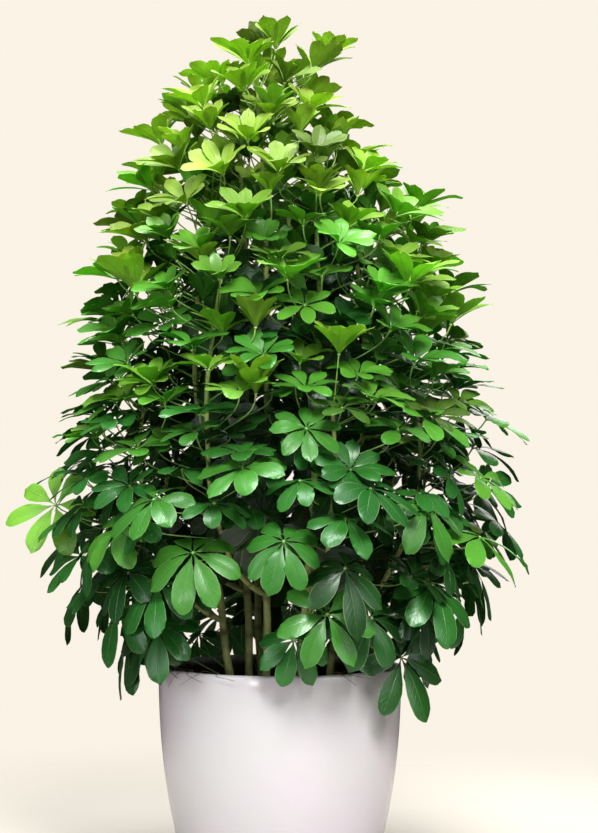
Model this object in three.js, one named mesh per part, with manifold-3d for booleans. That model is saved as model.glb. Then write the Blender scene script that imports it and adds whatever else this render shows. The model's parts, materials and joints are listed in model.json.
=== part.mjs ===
// A potted umbrella plant: a round glazed pot, filled with soil, in which several leafy canes grow
// together as one dense bush. Millimetres, +Z up. The origin is the centre of the pot's flat
// underside, and the bush is seen from the front when looking along +Y.
import * as THREE from "three";
import { mergeVertices } from "three/addons/utils/BufferGeometryUtils.js";
import Module from "manifold-3d";

const wasm = await Module();
wasm.setup();

// Pot: upright at the rim, drawn in towards the foot
const POT_HEIGHT = 330;
const POT_RIM_RADIUS = 190;
const POT_FOOT_RADIUS = 145;
const POT_CURVE = 2.24; // power of the side's curve
const POT_WALL = 10;
const POT_FLOOR = 14;
const POT_EDGE_ROUNDING = 10;
const POT_OUTSIDE_HEIGHTS = [60, 120, 190, 260];
const POT_SIDES = 36;
const POT_INSIDE_HEIGHTS = [190, 80]; // between the soil's top and the floor
const POT_FLAT_SAG = 0.8; // how far the middle of a flat side lies inside the round

// Soil
const SOIL_TOP = 283; // height at the wall
const SOIL_MOUND = 7; // how much higher it is in the middle
const SOIL_LUMPS = 1.6; // height of its lumps
const SOIL_LUMP_WIDTHS = [17, 13, 40];
const SOIL_MOUND_RINGS = [0.7, 0.35]; // of the soil's radius
const SOIL_SIDES = 24;
const CLEARANCE = 0.3; // between pieces that touch

// Canes: each stands in a hole in the soil, and a side shoot leaves it above the rim
const CANE_SIDES = 5;
const CANE_ROOT_HEIGHT = 215;
const CANE_FOOT_RADIUS = 6.5;
const CANE_TIP_RADIUS = 3;
const SHOOT_FOOT_RADIUS = 4.5;
const CANE_STEPS = 9;
const SHOOT_STEPS = 6;
const FORK_JOINT = 2; // the shoot leaves the cane at this joint

// A tall cane goes up the middle to the tip of the bush, and its shoot goes out and up past half
// height. A spreading cane leans out, and its shoot carries the leaves above the rim. Each curve is
// drawn by control points: [distance from the pot's axis, height], where the tip's height is the
// cane's own top, and the shoot starts at the fork.
const TALL = {
  cane: [[48, CANE_ROOT_HEIGHT], [66, 560], [44, 900], [26]],
  shoot: [[176, 462], [272, 650], [168, 930]],
};
const SPREADING = {
  cane: [[76, CANE_ROOT_HEIGHT], [92, 500], [190, 750], [118]],
  shoot: [[190, 440], [250, 590], [222, 730]],
};

// Angles are degrees from +X towards +Y, so the front is at 270. sway turns the cane's tip round
// the pot's axis.
const CANES = [
  { name: "front_left_cane", azimuth: 247, habit: TALL, top: 1225, sway: 24 },
  { name: "front_right_cane", azimuth: 292, habit: SPREADING, top: 1050, sway: 4 },
  { name: "right_cane", azimuth: 338, habit: SPREADING, top: 1010, sway: -5 },
  { name: "back_right_cane", azimuth: 23, habit: TALL, top: 1190, sway: -14 },
  { name: "back_cane", azimuth: 68, habit: SPREADING, top: 1055, sway: 6 },
  { name: "back_left_cane", azimuth: 112, habit: SPREADING, top: 1020, sway: -6 },
  { name: "left_cane", azimuth: 157, habit: TALL, top: 1165, sway: 10 },
  { name: "near_left_cane", azimuth: 202, habit: SPREADING, top: 1040, sway: 5 },
];

// Leaves: 7 or 8 leaflets stand round a hub at the end of a thin stalk. Each profile is a list of
// [height, value]. The size is a leaflet's length, the tilt is the angle between the leaf's axis
// and straight up, and the cup is the angle that the leaflets rise above the leaf's flat plane.
const HUB_RADIUS = [
  [335, 226],
  [400, 250],
  [440, 292],
  [480, 316],
  [560, 338],
  [600, 336],
  [650, 308],
  [740, 286],
  [830, 264],
  [900, 262],
  [1000, 228],
  [1090, 182],
  [1140, 138],
  [1215, 86],
  [1262, 52],
  [1306, 12],
];
const LEAF_SIZE = [
  [350, 92],
  [560, 86],
  [700, 78],
  [900, 76],
  [1100, 70],
  [1290, 64],
];
const LEAF_TILT = [
  [350, 72],
  [450, 62],
  [560, 52],
  [700, 42],
  [850, 34],
  [1000, 28],
  [1150, 22],
  [1290, 12],
];
const LEAF_CUP = [
  [350, -10],
  [480, -4],
  [600, 6],
  [720, 18],
  [850, 28],
  [1000, 36],
  [1150, 42],
  [1290, 48],
];

// How far the crown's middle stands to the right of the pot's axis: [height, distance]
const CROWN_LEAN = [
  [1030, 0],
  [1130, -42],
  [1220, -38],
  [1300, -4],
];

// How far apart the hubs of the spiral's leaves stand: [height, distance]
const LEAF_SPACING = [
  [340, 112],
  [700, 112],
  [1000, 103],
  [1100, 88],
  [1200, 76],
  [1300, 68],
];
const UNEVEN = 10; // how far a hub may stand in or out of the crown's profile

// The leaves that stand out most in the front view: [across, height, size, tilt, cup]
const FRONT_LEAVES = [
  [-5, 1296, 64, 8, 50],
  [-46, 1260, 68, 15, 45],
  [42, 1260, 66, 15, 45],
  [-118, 1190, 74, 20, 42],
  [44, 1185, 66, 22, 40],
  [-163, 1096, 72, 25, 40],
  [127, 1094, 66, 25, 38],
  [0, 1080, 69, 25, 42],
  [-57, 1010, 72, 25, 42],
  [183, 1020, 75, 25, 35],
  [-118, 955, 72, 30, 40],
  [-203, 900, 94, 20, 38],
  [193, 905, 92, 20, 35],
  [-266, 864, 84, 15, 35],
  [257, 860, 84, 20, 35],
  [-29, 840, 66, 20, 42],
  [77, 808, 75, 30, 38],
  [-179, 762, 78, 35, 32],
  [-39, 750, 78, 20, 42],
  [50, 700, 69, 55, 5],
  [204, 713, 72, 45, 10],
  [-279, 690, 63, 30, 20],
  [-345, 578, 92, 34, 14],
  [305, 538, 96, 45, 4],
  [-290, 520, 88, 60, -8],
  [-7, 538, 78, 68, -5],
  [213, 581, 81, 62, -5],
  [80, 431, 90, 68, -5],
  [223, 467, 90, 55, 0],
  [-182, 402, 98, 62, -8],
  [33, 397, 78, 78, -12],
  [172, 350, 90, 74, -8],
];

// A gap at the front, between the rim and the leaves, through which the canes show
const GAP_FROM = 254;
const GAP_TO = 274;
const GAP_TOP = 500;

const GOLDEN_ANGLE = 137.508;
const SPIRAL_START = 345; // height of the first leaf
const LEAFLETS_LEAST = 7;
const LEAFLETS_MOST = 8;
const LEAFLET_WIDEST_AT = 0.66; // of the leaflet's length
const LEAFLET_HALF_WIDTH = 0.225; // of the leaflet's length
const LEAFLET_TIP_SHARE = 0.48; // of the leaflet's width, at its blunt end
const LEAFLET_KEEL = 4; // degrees that its edges rise above its tip
const NOTCH_RADIUS = 9; // where neighbouring leaflets part
const HUB_ABOVE = 1.4;
const HUB_BELOW = 2.4;
const STALK_RADIUS = 2.1;
const STALK_LONGEST = 185;
const STALK_SHORTEST = 45;
const STALK_RISE = 0.5; // the rise of a good stalk, as a share of its reach
const STALK_RISE_WEIGHT = 0.9;
const STALK_BEND = 0.42; // how far below the hub its curve is pulled, as a share of its reach
const STALK_BENT_FROM = 120; // a shorter stalk is straight

// How far apart the leaves are kept, and how hard each one looks for a free place
const ROOM_BLADE = 12;
const ROOM_STALK = 8;
const ROOM_CANE = 15;
const RIM_ROOM = 13;
const TRIES = 60;

// The marks on a leaflet that are kept clear: [share of its length, share of its half width]
const LEAFLET_MARKS = [
  [0.3, 0],
  [0.5, -0.7],
  [0.5, 0.7],
  [0.75, -1],
  [0.75, 0],
  [0.75, 1],
  [1, 0],
];

// How far a leaf may stray from its home, and how much further at its last try
const STRAY = {
  azimuth: [3, 11],
  height: [4, 26],
  inward: [0, 60],
  tilt: [0, 10],
  lean: [0, 12],
  cup: [0, 6],
  size: [0, 0.12],
  branch: [1, 1.6], // how many of the nearest branches it may choose from
};
const SIZE_SPREAD = 0.08;
const LEAFLET_TURN_SPREAD = 0.12; // of the angle between leaflets
const LEAFLET_SIZE_SPREAD = 0.05;
const LEAFLET_OUTER_GAIN = 0.13; // how much longer the outer leaflets are than the side ones
const HOME_LOOSE = 10; // degrees by which the tilt and lean of a leaf differ from the profile
const FRONT_LOOSE = 2;
const CUP_LOOSE = 0.7; // of that
const SEED = 20261;

const TAU = 2 * Math.PI;
const UP = new THREE.Vector3(0, 0, 1);
const radians = THREE.MathUtils.degToRad;

// Seeded draws between 0 and 1, the same on every run
function seededDraws(seed) {
  let state = seed;
  return () => {
    state = (state * 16807) % 2147483647;
    return state / 2147483647;
  };
}

// The value of a profile at a height, on straight lines between its points
function profileAt(profile, height) {
  let [low, value] = profile[0];
  if (height <= low) return value;
  for (const [high, next] of profile) {
    if (height <= high) return value + ((next - value) * (height - low)) / (high - low || 1);
    [low, value] = [high, next];
  }
  return value;
}

function polar(azimuth, radius, height) {
  const angle = radians(azimuth);
  return new THREE.Vector3(radius * Math.cos(angle), radius * Math.sin(angle), height);
}

// A place in the crown, moved over with the crown's lean
function leaned(place) {
  place.x += profileAt(CROWN_LEAN, place.z);
  return place;
}

// A closed geometry as a solid that can be joined and cut
function toSolid(geometry) {
  const bare = new THREE.BufferGeometry();
  bare.setAttribute("position", geometry.getAttribute("position"));
  bare.setIndex(geometry.index);
  const merged = mergeVertices(bare, 1e-4);
  return new wasm.Manifold(
    new wasm.Mesh({
      numProp: 3,
      vertProperties: merged.attributes.position.array,
      triVerts: new Uint32Array(merged.index.array),
    }),
  );
}

function toGeometry(solid) {
  const mesh = solid.getMesh();
  const geometry = new THREE.BufferGeometry();
  geometry.setAttribute("position", new THREE.BufferAttribute(mesh.vertProperties, 3));
  geometry.setIndex(new THREE.BufferAttribute(mesh.triVerts, 1));
  geometry.computeVertexNormals();
  return geometry;
}

function geometryOf(points, faces) {
  const geometry = new THREE.BufferGeometry().setFromPoints(points);
  geometry.setIndex(faces.flat());
  return geometry;
}

function potRadius(height) {
  const tuck = (POT_RIM_RADIUS - POT_FOOT_RADIUS) * (1 - height / POT_HEIGHT) ** POT_CURVE;
  return POT_RIM_RADIUS - tuck;
}

function turned(profile, sides) {
  const points = profile.map(([radius, height]) => new THREE.Vector2(radius, height));
  return new THREE.LatheGeometry(points, sides).rotateX(Math.PI / 2);
}

function potGeometry() {
  const lip = POT_WALL / 2;
  const profile = [[0, 0]];
  for (const turn of [0, 0.5, 1]) {
    const angle = (turn * Math.PI) / 2;
    const height = POT_EDGE_ROUNDING * (1 - Math.cos(angle));
    const inset = POT_EDGE_ROUNDING * (1 - Math.sin(angle));
    profile.push([potRadius(height) - inset, height]);
  }
  for (const height of POT_OUTSIDE_HEIGHTS) profile.push([potRadius(height), height]);
  for (const turn of [0, 1, 2, 3]) {
    const angle = (turn * Math.PI) / 3;
    profile.push([
      POT_RIM_RADIUS - lip + lip * Math.cos(angle),
      POT_HEIGHT + lip * (Math.sin(angle) - Math.sin(Math.PI / 3)),
    ]);
  }
  for (const height of [SOIL_TOP, ...POT_INSIDE_HEIGHTS, POT_FLOOR]) {
    profile.push([potRadius(height) - POT_WALL, height]);
  }
  profile.push([0, POT_FLOOR]);
  return turned(profile, POT_SIDES);
}

// The soil fills the pot up to a low mound, and each cane's hole goes down into it.
function soilGeometry(holes) {
  const inside = (height) => potRadius(height) - POT_WALL - CLEARANCE - POT_FLAT_SAG;
  const bottom = POT_FLOOR + CLEARANCE;
  const profile = [[0, bottom]];
  for (const height of [bottom, ...POT_INSIDE_HEIGHTS.toReversed(), SOIL_TOP]) {
    profile.push([inside(height), height]);
  }
  for (const share of SOIL_MOUND_RINGS) {
    profile.push([inside(SOIL_TOP) * share, SOIL_TOP + SOIL_MOUND * (1 - share * share)]);
  }
  profile.push([0, SOIL_TOP + SOIL_MOUND]);
  const geometry = turned(profile, SOIL_SIDES);
  const place = geometry.getAttribute("position");
  const [wide, narrow, skew] = SOIL_LUMP_WIDTHS;
  for (let i = 0; i < place.count; i += 1) {
    const [x, y, z] = [place.getX(i), place.getY(i), place.getZ(i)];
    const lump = SOIL_LUMPS * Math.sin(x / wide) * Math.cos(y / narrow + x / skew);
    if (z > SOIL_TOP + 1) place.setZ(i, z + lump);
  }
  let soil = toSolid(geometry);
  for (const hole of holes) soil = soil.subtract(hole);
  return toGeometry(soil);
}

// Rings of points square to a line of centres. The first ring's side is carried along without twist.
function ringsAlong(centres, radiusAt, sides, firstSide) {
  const rings = [];
  const side = firstSide.clone();
  let before = null;
  centres.forEach((centre, i) => {
    const from = centres[Math.max(i - 1, 0)];
    const to = centres[Math.min(i + 1, centres.length - 1)];
    const ahead = to.clone().sub(from).normalize();
    if (before) side.applyQuaternion(new THREE.Quaternion().setFromUnitVectors(before, ahead));
    side.addScaledVector(ahead, -side.dot(ahead)).normalize();
    before = ahead;
    for (let corner = 0; corner < sides; corner += 1) {
      const spoke = side.clone().applyAxisAngle(ahead, (TAU * corner) / sides);
      rings.push(centre.clone().addScaledVector(spoke, radiusAt(i)));
    }
  });
  return rings;
}

// The faces between rings of points, wound outwards, where start is the first point's index
function wallFaces(start, rings, sides) {
  const faces = [];
  for (let ring = 0; ring < rings - 1; ring += 1) {
    for (let corner = 0; corner < sides; corner += 1) {
      const a = start + ring * sides + corner;
      const b = start + ring * sides + ((corner + 1) % sides);
      faces.push([a, b, b + sides], [a, b + sides, a + sides]);
    }
  }
  return faces;
}

// A branch of a cane is straight between its joints.
function branchOf(curve, steps, footRadius, tipRadius) {
  return { joints: curve.getPoints(steps), footRadius, tipRadius };
}

function branchSolid({ joints, footRadius, tipRadius }, grow = 0) {
  const steps = joints.length - 1;
  const radiusAt = (i) => footRadius + ((tipRadius - footRadius) * i) / steps + grow;
  const points = ringsAlong(joints, radiusAt, CANE_SIDES, new THREE.Vector3(1, 0, 0));
  const faces = wallFaces(0, steps + 1, CANE_SIDES);
  const last = steps * CANE_SIDES;
  for (let corner = 1; corner < CANE_SIDES - 1; corner += 1) {
    faces.push([0, corner + 1, corner], [last, last + corner, last + corner + 1]);
  }
  return toSolid(geometryOf(points, faces));
}

// The two branches of a cane: its own curve and its side shoot's
function caneBranches({ azimuth, habit, top, sway }) {
  const turns = [azimuth, azimuth, azimuth + sway / 2, azimuth + sway];
  const places = habit.cane.map(([radius, height = top], i) => polar(turns[i], radius, height));
  if (habit === TALL) leaned(places.at(-1));
  const main = new THREE.CubicBezierCurve3(...places);
  const fork = main.getPoint(FORK_JOINT / CANE_STEPS);
  const away = habit.shoot.map(([radius, height]) => polar(azimuth - sway / 3, radius, height));
  const shoot = new THREE.CubicBezierCurve3(fork, ...away);
  return [
    branchOf(main, CANE_STEPS, CANE_FOOT_RADIUS, CANE_TIP_RADIUS),
    branchOf(shoot, SHOOT_STEPS, SHOOT_FOOT_RADIUS, CANE_TIP_RADIUS),
  ];
}

// Evenly spread points of a branch's middle line
function branchPoints({ joints }) {
  const points = [];
  for (let i = 1; i < joints.length; i += 1) {
    const steps = Math.ceil(joints[i].distanceTo(joints[i - 1]) / ROOM_STALK);
    for (let step = 0; step < steps; step += 1) {
      points.push(joints[i - 1].clone().lerp(joints[i], step / steps));
    }
  }
  return points;
}

// A leaf's own frame: its axis, the way its outer leaflet points, and the third direction
function leafFrame(azimuth, tilt) {
  const outward = polar(azimuth, 1, 0);
  const lean = radians(tilt);
  const axis = UP.clone().multiplyScalar(Math.cos(lean)).addScaledVector(outward, Math.sin(lean));
  const ahead = outward.clone().multiplyScalar(Math.cos(lean)).addScaledVector(UP, -Math.sin(lean));
  const across = axis.clone().cross(ahead);
  return { axis, ahead, across };
}

// A point of the leaf: turn round its axis, rise above its plane, distance from its hub
function leafPoint(leaf, turn, rise, distance) {
  const flat = distance * Math.cos(rise);
  return leaf.hub
    .clone()
    .addScaledVector(leaf.ahead, flat * Math.cos(turn))
    .addScaledVector(leaf.across, flat * Math.sin(turn))
    .addScaledVector(leaf.axis, distance * Math.sin(rise));
}

// A point of a leaflet: share of its length, and offset across it as a share of its length
function leafletPoint(leaf, { turn, length }, along, offset, keel) {
  const distance = length * Math.hypot(along, offset);
  return leafPoint(leaf, turn + Math.atan2(offset, along), leaf.cup + keel, distance);
}

// The stalk's curve, from the cane to the hub, which it meets along the leaf's axis
function stalkPoint(leaf, t) {
  const bend = leaf.hub.clone().addScaledVector(leaf.axis, -STALK_BEND * leaf.reach);
  const [a, b, c] = [(1 - t) ** 2, 2 * t * (1 - t), t ** 2];
  return new THREE.Vector3()
    .addScaledVector(leaf.root, a)
    .addScaledVector(bend, b)
    .addScaledVector(leaf.hub, c);
}

// The points that a leaf keeps clear of its neighbours
function leafMarks(leaf) {
  const marks = [{ at: leaf.hub, room: ROOM_BLADE }];
  for (const leaflet of leaf.leaflets) {
    for (const [along, aside] of LEAFLET_MARKS) {
      const at = leafletPoint(leaf, leaflet, along, aside * LEAFLET_HALF_WIDTH, 0);
      marks.push({ at, room: ROOM_BLADE });
    }
  }
  const steps = Math.ceil(leaf.reach / ROOM_STALK);
  for (let step = 0; step < steps; step += 1) {
    marks.push({ at: stalkPoint(leaf, step / steps), room: ROOM_STALK, stem: true });
  }
  return marks;
}

// What already stands in the bush, in boxes as wide as the greatest room
function crowd() {
  const boxes = new Map();
  const key = (x, y, z) => `${x},${y},${z}`;
  const box = (value) => Math.floor(value / ROOM_CANE);
  const add = (mark, owner) => {
    const name = key(box(mark.at.x), box(mark.at.y), box(mark.at.z));
    if (!boxes.has(name)) boxes.set(name, []);
    boxes.get(name).push({ ...mark, owner });
  };
  const meets = (mark, owner) => {
    const [x, y, z] = [box(mark.at.x), box(mark.at.y), box(mark.at.z)];
    for (let dx = -1; dx <= 1; dx += 1) {
      for (let dy = -1; dy <= 1; dy += 1) {
        for (let dz = -1; dz <= 1; dz += 1) {
          for (const other of boxes.get(key(x + dx, y + dy, z + dz)) ?? []) {
            if (mark.stem && other.stem && owner === other.owner) continue;
            const room = Math.max(mark.room, other.room);
            if (mark.at.distanceTo(other.at) < room) return true;
          }
        }
      }
    }
    return false;
  };
  return { add, meets };
}

function touchesPot({ at }) {
  return at.z < POT_HEIGHT + RIM_ROOM && Math.hypot(at.x, at.y) < POT_RIM_RADIUS + RIM_ROOM;
}

// The place on the canes that carries a leaf: near its hub, and lower than it
function stalkRoot(hub, branches, choice) {
  const places = branches.map(({ owner, points }) => {
    let best = { cost: Infinity };
    for (const point of points) {
      const reach = point.distanceTo(hub);
      const rise = (hub.z - point.z) / reach;
      const cost = reach * (1 + STALK_RISE_WEIGHT * Math.abs(rise - STALK_RISE));
      if (reach > STALK_SHORTEST && cost < best.cost) best = { cost, owner, root: point, reach };
    }
    return best;
  });
  places.sort((a, b) => a.cost - b.cost);
  return places[choice];
}

// One try at a leaf. The tries stray further and further from home.
function leafTry(home, attempt, branches, draw) {
  const swing = () => 2 * draw() - 1;
  const stray = ([first, more]) => first + (more * attempt) / TRIES;
  const azimuth = home.azimuth + swing() * stray(STRAY.azimuth);
  const height = home.height + swing() * stray(STRAY.height);
  const inward = draw() * stray(STRAY.inward);
  const tilt = home.tilt + swing() * (home.loose + stray(STRAY.tilt));
  const lean = azimuth + swing() * (home.loose + stray(STRAY.lean));
  const cup = home.cup + swing() * (home.loose * CUP_LOOSE + stray(STRAY.cup));
  const size = home.size * (1 + SIZE_SPREAD * swing()) * (1 - stray(STRAY.size));
  const count = LEAFLETS_LEAST + Math.floor(draw() * (LEAFLETS_MOST + 1 - LEAFLETS_LEAST));
  const spin = draw() * TAU;
  const choice = Math.floor(draw() * stray(STRAY.branch));
  const leaflets = [];
  for (let i = 0; i < count; i += 1) {
    const turn = spin + (TAU * (i + LEAFLET_TURN_SPREAD * swing())) / count;
    const outer = 1 - LEAFLET_OUTER_GAIN * (1 - Math.cos(turn));
    leaflets.push({ turn, length: size * outer * (1 + LEAFLET_SIZE_SPREAD * swing()) });
  }
  const uneven = UNEVEN * swing();
  const radius = (home.radius ?? profileAt(HUB_RADIUS, height)) + uneven - inward;
  const hub = leaned(polar(azimuth, Math.max(radius, 0), height));
  const { owner, root, reach } = stalkRoot(hub, branches, choice);
  const frame = leafFrame(lean, tilt);
  return { ...frame, hub, root, owner, reach, cup: radians(cup), leaflets };
}

// The homes of the leaves: the chosen front ones, then a spiral up the crown
function leafHomes() {
  const homes = FRONT_LEAVES.map(([across, height, size, tilt, cup]) => {
    const aside = across - profileAt(CROWN_LEAN, height);
    const radius = Math.max(profileAt(HUB_RADIUS, height), Math.abs(aside));
    const azimuth = 360 - THREE.MathUtils.radToDeg(Math.acos(aside / radius));
    return { azimuth, height, radius, size, tilt, cup, loose: FRONT_LOOSE };
  });
  let height = SPIRAL_START;
  let azimuth = 0;
  while (height < HUB_RADIUS.at(-1)[0]) {
    const gap = azimuth > GAP_FROM && azimuth < GAP_TO && height < GAP_TOP;
    if (!gap) {
      homes.push({
        azimuth,
        height,
        size: profileAt(LEAF_SIZE, height),
        tilt: profileAt(LEAF_TILT, height),
        cup: profileAt(LEAF_CUP, height),
        loose: HOME_LOOSE,
      });
    }
    const radius = profileAt(HUB_RADIUS, height);
    const slope = profileAt(HUB_RADIUS, height + 1) - radius;
    height += profileAt(LEAF_SPACING, height) ** 2 / (TAU * radius * Math.hypot(1, slope));
    azimuth = (azimuth + GOLDEN_ANGLE) % 360;
  }
  return homes;
}

// Every leaf of the bush, each with the cane that carries it
function growLeaves(canes) {
  const draw = seededDraws(SEED);
  const standing = crowd();
  const branches = [];
  canes.forEach((cane, owner) => {
    for (const branch of cane.branches) {
      const points = branchPoints(branch);
      branches.push({ owner, points });
      for (const at of points) standing.add({ at, room: ROOM_CANE, stem: true }, owner);
    }
  });
  const leaves = [];
  for (const home of leafHomes()) {
    for (let attempt = 0; attempt < TRIES; attempt += 1) {
      const leaf = leafTry(home, attempt, branches, draw);
      if (leaf.reach > STALK_LONGEST) continue;
      const marks = leafMarks(leaf);
      if (marks.some((mark) => touchesPot(mark) || standing.meets(mark, leaf.owner))) continue;
      for (const mark of marks) standing.add(mark, leaf.owner);
      leaves.push(leaf);
      break;
    }
  }
  return leaves;
}

// The leaflets but for the one that points back into the bush, where it doesn't show
function withoutBack(leaflets) {
  const ahead = leaflets.map(({ turn }) => Math.cos(turn));
  const back = ahead.indexOf(Math.min(...ahead));
  return leaflets.filter((_, i) => i !== back);
}

// A leaf as one thin closed blade cut to its hub between the leaflets, with its stalk below it.
// Both faces are split alike and meet at the outline, so the blade tapers from hub to edge.
function leafSolid(leaf) {
  const steps = leaf.reach < STALK_BENT_FROM ? 1 : 2;
  const centres = [];
  for (let step = 0; step <= steps; step += 1) centres.push(stalkPoint(leaf, step / steps));
  const start = centres[1].clone().sub(centres[0]).normalize();
  const lean = new THREE.Quaternion().setFromUnitVectors(leaf.axis, start);
  const firstSide = leaf.ahead.clone().applyQuaternion(lean);
  const hubRing = 3 * steps;
  const points = ringsAlong(centres, () => STALK_RADIUS, 3, firstSide).slice(0, hubRing);
  for (const corner of [0, 1, 2]) {
    const place = leafPoint(leaf, (TAU * corner) / 3, 0, STALK_RADIUS);
    points.push(place.addScaledVector(leaf.axis, -HUB_BELOW));
  }
  const faces = [[0, 2, 1], ...wallFaces(0, centres.length, 3)];
  const hubTop = points.length;
  points.push(leaf.hub.clone().addScaledVector(leaf.axis, HUB_ABOVE));

  const keel = radians(LEAFLET_KEEL);
  const w = LEAFLET_HALF_WIDTH;
  const tip = w * LEAFLET_TIP_SHARE;
  const outline = [];
  const shown = withoutBack(leaf.leaflets);
  shown.forEach((leaflet, i) => {
    const { turn } = leaflet;
    const before = shown.at(i - 1).turn - (i ? 0 : TAU);
    const corner = hubRing + (Math.round((3 * (turn + TAU)) / TAU) % 3);
    const places = [
      leafPoint(leaf, (turn + before) / 2, leaf.cup, NOTCH_RADIUS),
      leafletPoint(leaf, leaflet, LEAFLET_WIDEST_AT, -w, keel),
      leafletPoint(leaf, leaflet, 1, -tip, -keel),
      leafletPoint(leaf, leaflet, 1, tip, -keel),
      leafletPoint(leaf, leaflet, LEAFLET_WIDEST_AT, w, keel),
    ];
    for (const place of places) {
      outline.push({ index: points.length, corner });
      points.push(place);
    }
  });
  outline.forEach((from, i) => {
    const to = outline[(i + 1) % outline.length];
    faces.push([hubTop, from.index, to.index], [from.corner, to.index, from.index]);
    for (let corner = from.corner; corner !== to.corner; ) {
      const next = hubRing + ((corner - hubRing + 1) % 3);
      faces.push([next, to.index, corner]);
      corner = next;
    }
  });
  return toSolid(geometryOf(points, faces));
}

function caneSolid(cane) {
  const [main, shoot] = cane.branches;
  let solid = branchSolid(main).add(branchSolid(shoot));
  for (const leaf of cane.leaves) solid = solid.add(leafSolid(leaf));
  return solid;
}

function makeMesh(name, geometry, colour, roughness) {
  const material = new THREE.MeshStandardMaterial({ color: colour, roughness, metalness: 0 });
  const mesh = new THREE.Mesh(geometry, material);
  mesh.name = name;
  return mesh;
}

const plant = new THREE.Group();
const canes = CANES.map((cane) => ({ ...cane, branches: caneBranches(cane) }));
const leaves = growLeaves(canes);
canes.forEach((cane, owner) => {
  cane.leaves = leaves.filter((leaf) => leaf.owner === owner);
});
const holes = canes.map(({ branches }) => branchSolid(branches[0], CLEARANCE));

plant.add(makeMesh("pot", potGeometry(), 0xf2eef0, 0.25));
plant.add(makeMesh("soil", soilGeometry(holes), 0x2e241c, 0.95));
for (const cane of canes) {
  plant.add(makeMesh(cane.name, toGeometry(caneSolid(cane)), 0x3f8a2c, 0.45));
}

export default plant;
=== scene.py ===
# %% [markdown]
# # A potted umbrella plant
# The real thing is a floor plant: several canes set together in one pot of soil, each with dozens of
# leaves. A leaf is a long thin stalk with seven or eight glossy leaflets round its end, like the ribs
# of an umbrella. The construction model already stands in this scene as plain solids, and here each
# of them gets its real surface. The same placing rule is run again, so that every fine leaf grows
# from the same root as its plain one. Most of them then settle a little under their own weight, seven
# are set one by one, and more leaves fill the gaps between them and behind them.

# %% Load the construction model
import json
import math
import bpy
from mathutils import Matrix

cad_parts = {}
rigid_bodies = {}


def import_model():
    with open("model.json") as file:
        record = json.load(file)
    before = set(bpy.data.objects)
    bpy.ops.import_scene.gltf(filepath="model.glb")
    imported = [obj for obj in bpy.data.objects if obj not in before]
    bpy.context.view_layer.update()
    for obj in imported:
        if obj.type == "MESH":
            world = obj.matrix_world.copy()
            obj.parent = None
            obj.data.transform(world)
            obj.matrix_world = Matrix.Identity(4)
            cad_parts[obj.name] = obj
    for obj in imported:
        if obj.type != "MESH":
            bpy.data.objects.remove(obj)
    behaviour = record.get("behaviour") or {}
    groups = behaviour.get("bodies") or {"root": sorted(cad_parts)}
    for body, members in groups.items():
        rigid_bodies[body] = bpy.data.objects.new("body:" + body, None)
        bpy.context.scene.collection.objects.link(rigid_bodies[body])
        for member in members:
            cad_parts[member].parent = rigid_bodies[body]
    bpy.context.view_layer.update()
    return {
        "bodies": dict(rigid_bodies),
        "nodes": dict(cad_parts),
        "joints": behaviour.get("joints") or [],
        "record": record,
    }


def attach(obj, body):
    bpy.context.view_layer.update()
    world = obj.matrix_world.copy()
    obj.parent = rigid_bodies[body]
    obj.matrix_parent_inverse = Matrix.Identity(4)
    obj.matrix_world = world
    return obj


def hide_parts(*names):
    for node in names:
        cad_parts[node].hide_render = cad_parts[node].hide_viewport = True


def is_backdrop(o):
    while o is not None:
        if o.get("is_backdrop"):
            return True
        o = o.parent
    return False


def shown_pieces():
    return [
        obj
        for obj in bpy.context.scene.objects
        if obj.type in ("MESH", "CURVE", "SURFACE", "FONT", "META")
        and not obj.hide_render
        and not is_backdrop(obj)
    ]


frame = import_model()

from types import SimpleNamespace

import bmesh
import bpy
import numpy as np
from mathutils import Matrix, Vector

MM = 0.001  # sizes below are in millimetres, and Blender's unit is the metre
print("nodes:", ", ".join(sorted(frame["nodes"])))

# %% [markdown]
# ## The camera
# The photograph was taken from a few metres away and from half the plant's height, so the pot's rim
# is seen a little from above. The distance sets the perspective, and the focal length then follows
# from how wide the rim is in the picture. The camera turns a little instead of shifting, so that
# every other view can use it too.

# %% Place the camera
PHOTO_SIZE = (598, 833)  # pixels
PHOTO_HORIZON = 453.8  # row that is level with the camera
PHOTO_AXIS = 280  # column of the pot's axis
PHOTO_RIM_WIDTH = 242
RIM_WIDTH = 0.380
CAMERA_DISTANCE = 3.5
CAMERA_HEIGHT = 0.66
SENSOR = 36  # mm, along the picture's longer side

focal_pixels = CAMERA_DISTANCE * PHOTO_RIM_WIDTH / RIM_WIDTH
camera_data = bpy.data.cameras.new("camera")
camera_data.sensor_width = SENSOR
camera_data.lens = SENSOR * focal_pixels / max(PHOTO_SIZE)
camera = bpy.data.objects.new("camera", camera_data)
camera.location = (0, -CAMERA_DISTANCE, CAMERA_HEIGHT)
tip_up = math.atan((PHOTO_HORIZON - PHOTO_SIZE[1] / 2) / focal_pixels)
turn_right = math.atan((PHOTO_SIZE[0] / 2 - PHOTO_AXIS) / focal_pixels)
camera.rotation_euler = (math.pi / 2 + tip_up, 0, -turn_right)
bpy.context.scene.collection.objects.link(camera)
bpy.context.scene.camera = camera
print("lens, mm:", round(camera_data.lens, 1))

# %% [markdown]
# ## Nodes by short calls
# Every finish below is a small graph of shader nodes. Adding nodes and links one by one in code is
# long-winded, so this helper wraps a node tree: each method adds one node, takes numbers or sockets
# as its inputs, and gives back the output socket, so that a graph reads like a sum.

# %% A helper for node graphs


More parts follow.
